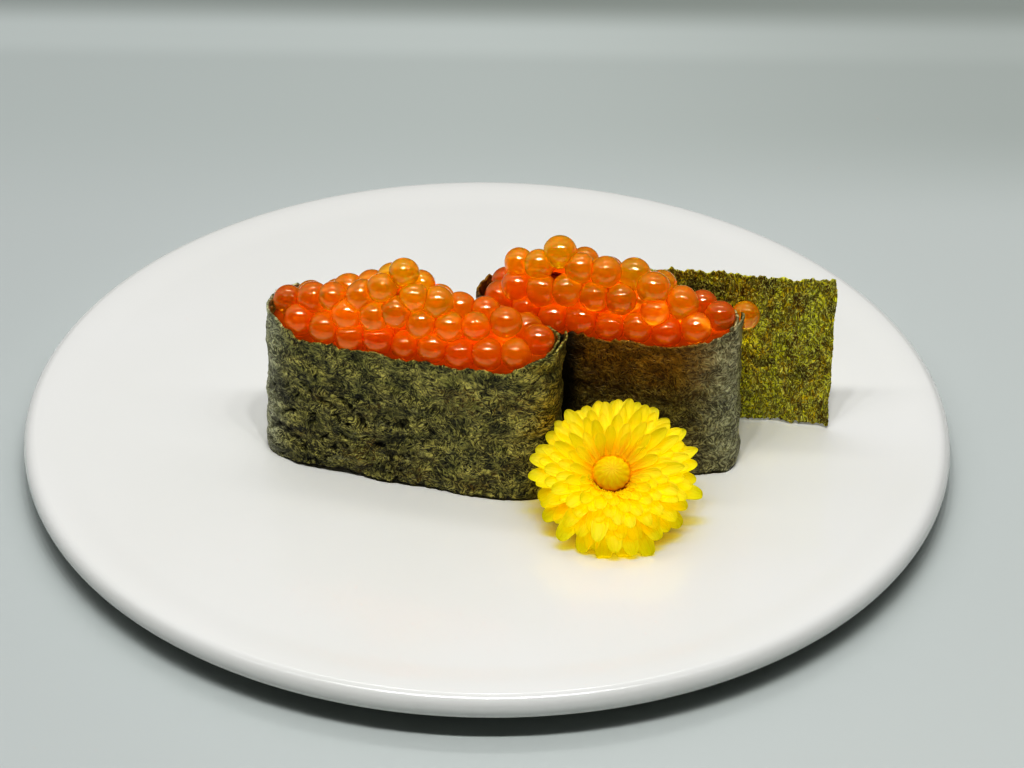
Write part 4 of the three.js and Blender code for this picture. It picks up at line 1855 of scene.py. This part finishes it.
@dataclass(frozen=True)
class Chrysanthemum:
    """Flower head that leans towards the two bites, its face towards the diner.

    Attributes:
        centre: Where its base stands on the plate, and how high above the plate's face.
        tilt_degrees: How far its face is tipped towards the diner.
        rays: The petals round the bud.
        fingers: The short ones that stand up in front of it.
        bud: The closed bud.
        lowest: Least height of a petal above the plate.
        softness: How softly petals bend where they meet the plate.
    """

    centre: Triple = (26.8, -38.5, 11.4)
    tilt_degrees: float = 33.0
    rays: Whorl = Whorl(
        count=140, start=(1.8, 4.2), reach=(17.5, 7.4), base=(-0.6, 4.3), slope=(4.0, 42.0),
        tip_slope=(-8.0, 42.0), width=(4.3, 2.5), cup=(0.12, 0.22), tone=(0.0, 0.5), seed=5,
        crowding=(2.6, 1.4), roll=24.0,
    )
    fingers: Whorl = Whorl(
        count=13, start=(4.5, 4.5), reach=(6.1, 6.1), base=(4.3, 4.3), slope=(58.0, 58.0),
        tip_slope=(30.0, 30.0), width=(1.6, 1.6), cup=(0.3, 0.3), tone=(0.5, 0.8), seed=9, arc=1.2,
        foot=1.0,
    )
    bud: Bud = Bud()
    lowest: float = 0.15
    softness: float = 0.25

    def on_plate(self, shell: Shell) -> Shell:
        """Tilts a shell about X and takes it to the flower's place.

        Petals that would reach below the plate's face lie down on it: what is left of their height
        is the softplus of their height over a small length.

        Args:
            shell: A shell in the flower's own axes.

        Returns:
            The shell on the plate.
        """
        shell.moved(turn_about(Axis.X, math.radians(self.tilt_degrees)), np.array(self.centre))
        rest = self.softness * np.logaddexp(0, (shell.points[:, 2] - self.lowest) / self.softness)
        shell.points[:, 2] = PLATE_FACE + self.lowest + rest
        return shell

    def stem_and_cup(self) -> Shell:
        """Turned profile of the short cut stem, the scaly cup and the floor that the petals grow from.

        Returns:
            The closed stem and cup.
        """
        profile = np.array([
            [0.3, -12.0], [1.2, -12.0], [1.3, -11.7], [1.2, -8.0], [1.3, -5.0], [1.9, -4.5], [3.4, -3.9],
            [4.8, -2.6], [5.6, -1.6], [5.0, -0.8], [3.4, -0.2], [0.4, 0.0],
        ])
        return lathe(profile, 36)

    def build(self) -> None:
        """Makes the petals, the bud and the cup with its stem, and registers them."""
        petal = PetalFinish().material()
        pieces = (
            ("petals", join(self.rays.petals()), petal, "petal"),
            ("bud", join([self.bud.shell(), *self.fingers.petals()]), petal, "petal"),
            ("stem", self.stem_and_cup(), GreenFinish().material(), None),
        )
        for name, shell, material, slot in pieces:
            piece = self.on_plate(shell).to_object(f"chrysanthemum_{name}", material)
            register(piece, "chrysanthemum")


@dataclass(frozen=True)
class Studio:
    """Floor, light and camera.

    The camera's place, its pitch and its small roll were fitted to the plate's outline in the
    photograph.

    Attributes:
        camera_place: The lens, in millimetres.
        pitch_degrees: How far it looks down.
        roll_degrees: How far the picture is turned.
        focal_pixels: Focal length in pixels of the picture.
        image_width: Width of the picture in pixels.
        sensor: Width of the sensor in millimetres.
        floor_half: Half the width of the floor in millimetres.
        lamp_rows: Place along Y in metres of each row of lamps, and the watts of its middle lamp.
        lamp_height: Height of the lamps in metres.
        lamps_per_row: How many lamps hang in a row.
        lamp_pitch: Distance between them in metres.
        lamp_size: Width and depth of a lamp in metres.
        bright_half: Distance along X over which a row falls off.
        least_share: Share of the watts that every lamp keeps.
        room_light: Strength of the light from the room.
        left_light: How much brighter the room is to the left.
        right_light: How much brighter it is to the right.
    """

    camera_place: Triple = (5.176, -794.829, 549.601)
    pitch_degrees: float = 33.711
    roll_degrees: float = 0.7568
    focal_pixels: float = 4439.0
    image_width: int = 1024
    sensor: float = 36.0
    floor_half: float = 3000.0
    lamp_rows: tuple[Pair, ...] = ((-0.56, 2.93), (0.52, 0.46))
    lamp_height: float = 1.6
    lamps_per_row: int = 15
    lamp_pitch: float = 0.2
    lamp_size: Pair = (0.07, 0.14)
    bright_half: float = 0.42
    least_share: float = 0.06
    room_light: float = 0.28
    left_light: float = 1.2
    right_light: float = 0.2

    def camera(self) -> None:
        """Sets the camera, which looks along +Y and down by the pitch, turned by the roll."""
        pitch, roll = math.radians(self.pitch_degrees), math.radians(self.roll_degrees)
        ahead = np.array([0, math.cos(pitch), -math.sin(pitch)])
        level = np.array([1.0, 0, 0])
        above = np.cross(level, ahead)
        right = math.cos(roll) * level + math.sin(roll) * above
        up = math.cos(roll) * above - math.sin(roll) * level
        lens = bpy.data.cameras.new("camera")
        lens.sensor_fit = "HORIZONTAL"
        lens.sensor_width = self.sensor
        lens.lens = self.focal_pixels / self.image_width * self.sensor
        lens.clip_end = 20
        made = bpy.data.objects.new("camera", lens)
        basis = np.eye(4)
        basis[:3, :3] = np.stack([right, up, -ahead], axis=1)
        basis[:3, 3] = np.array(self.camera_place) * MM
        made.matrix_world = Matrix(basis.tolist())
        bpy.context.scene.collection.objects.link(made)
        bpy.context.scene.camera = made

    def floor(self) -> None:
        """Lays a floor under the plate, whose finish paints the light's falloff across it."""
        corners = self.floor_half * np.array([[-1, -1, 0], [1, -1, 0], [1, 1, 0], [-1, 1, 0]])
        floor = Shell(points=corners, quads=np.array([[0, 1, 2, 3]]))
        floor.to_object("floor", TableFinish().material())

    def lamps(self) -> None:
        """Hangs rows of small soft lamps over the plate, which give the eggs their broken glints.

        The lamps of a row fall off towards its ends as a bell curve, down to a small share. Their
        height was found from the edges of the plate's shadow.
        """
        for row, (y, watts) in enumerate(self.lamp_rows):
            for k in range(self.lamps_per_row):
                x = (k - (self.lamps_per_row - 1) / 2) * self.lamp_pitch
                light = bpy.data.lights.new(f"lamp_{row}_{k}", "AREA")
                light.shape = "RECTANGLE"
                light.size, light.size_y = self.lamp_size
                bell = math.exp(-((x / self.bright_half) ** 2))
                light.energy = watts * between(self.least_share, 1.0, bell)
                made = bpy.data.objects.new(f"lamp_{row}_{k}", light)
                made.location = (x, y, self.lamp_height)
                made.rotation_euler = made.location.to_track_quat("Z", "Y").to_euler()
                made.visible_camera = False
                bpy.context.scene.collection.objects.link(made)

    def world(self) -> None:
        """Lights the room from above, the back and the side walls, and leaves the camera's side dark.

        The brightness grows with the direction's height, and more to the left than to the right. It
        is multiplied by a share that falls to almost nothing low on the camera's side.
        """
        world = bpy.data.worlds.new("room")
        world.use_nodes = True
        nodes = Nodes(world.node_tree)
        x, y, z = nodes.parts(nodes.node("ShaderNodeTexCoord", {}).outputs["Generated"])
        left = nodes.step(x, -0.35, -0.95, 0.0, self.left_light)
        right = nodes.step(x, 0.45, 0.95, 0.0, self.right_light)
        room = nodes.math("ADD", nodes.step(z, 0.1, 0.9, 0.2, 1.0), nodes.math("ADD", left, right))
        leant = nodes.math("ADD", y, nodes.step(z, 0.5, 1.0, 0.0, 0.5))
        ahead = nodes.step(leant, -0.1, 0.35, 0.01, 1.0)
        background = world.node_tree.nodes["Background"]
        nodes.feed(background.inputs["Color"], nodes.math("MULTIPLY", ahead, room))
        nodes.feed(background.inputs["Strength"], self.room_light)
        bpy.context.scene.world = world

    def build(self) -> None:
        """Sets up the whole studio."""
        self.camera()
        self.floor()
        self.lamps()
        self.world()
        bpy.context.scene.view_settings.view_transform = "Standard"
        bpy.context.scene.view_settings.look = "Very High Contrast"


FRONT = BiteShape(
    name="front", centre=(-15.8, -16.3), turn_degrees=-15.2, half_length=31.4, half_width=9.2,
    squareness=3.3, front_rim=31.4, overlap=9.0, hem_lift=-13.0, seed=11,
    ridge=(
        (-31, 34), (-25, 36), (-16, 39.6), (-2, 46.6), (4, 42.5), (9, 39.5), (18, 39.6), (24, 37.5),
        (31, 33),
    ),
    furrows=1.0, curl=1.1, worn_left=1.0,
)
REAR = BiteShape(
    name="rear", centre=(25.1, -8.3), turn_degrees=-13.0, half_length=28.1, half_width=9.1,
    squareness=2.6, front_rim=31.9, overlap=7.0, hem_lift=-40.0, seed=23,
    ridge=(
        (-29, 33), (-24, 37), (-18, 43), (-11, 46.2), (-2, 44.5), (10, 41.6), (17, 38.2), (23, 36),
        (28, 33),
    ),
    furrows=0.25, curl=0.3, brown=0.5, worn_right=0.7, close=0.9,
)


def main() -> None:
    """Builds the studio and every piece."""
    logging.basicConfig(level=logging.INFO, format="%(name)s: %(message)s")
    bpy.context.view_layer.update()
    Studio().build()
    for part in (Plate(), Bite(FRONT), Bite(REAR), StandingSheet(), StrayEgg(), Chrysanthemum()):
        part.build()


if __name__ == "__main__":
    main()
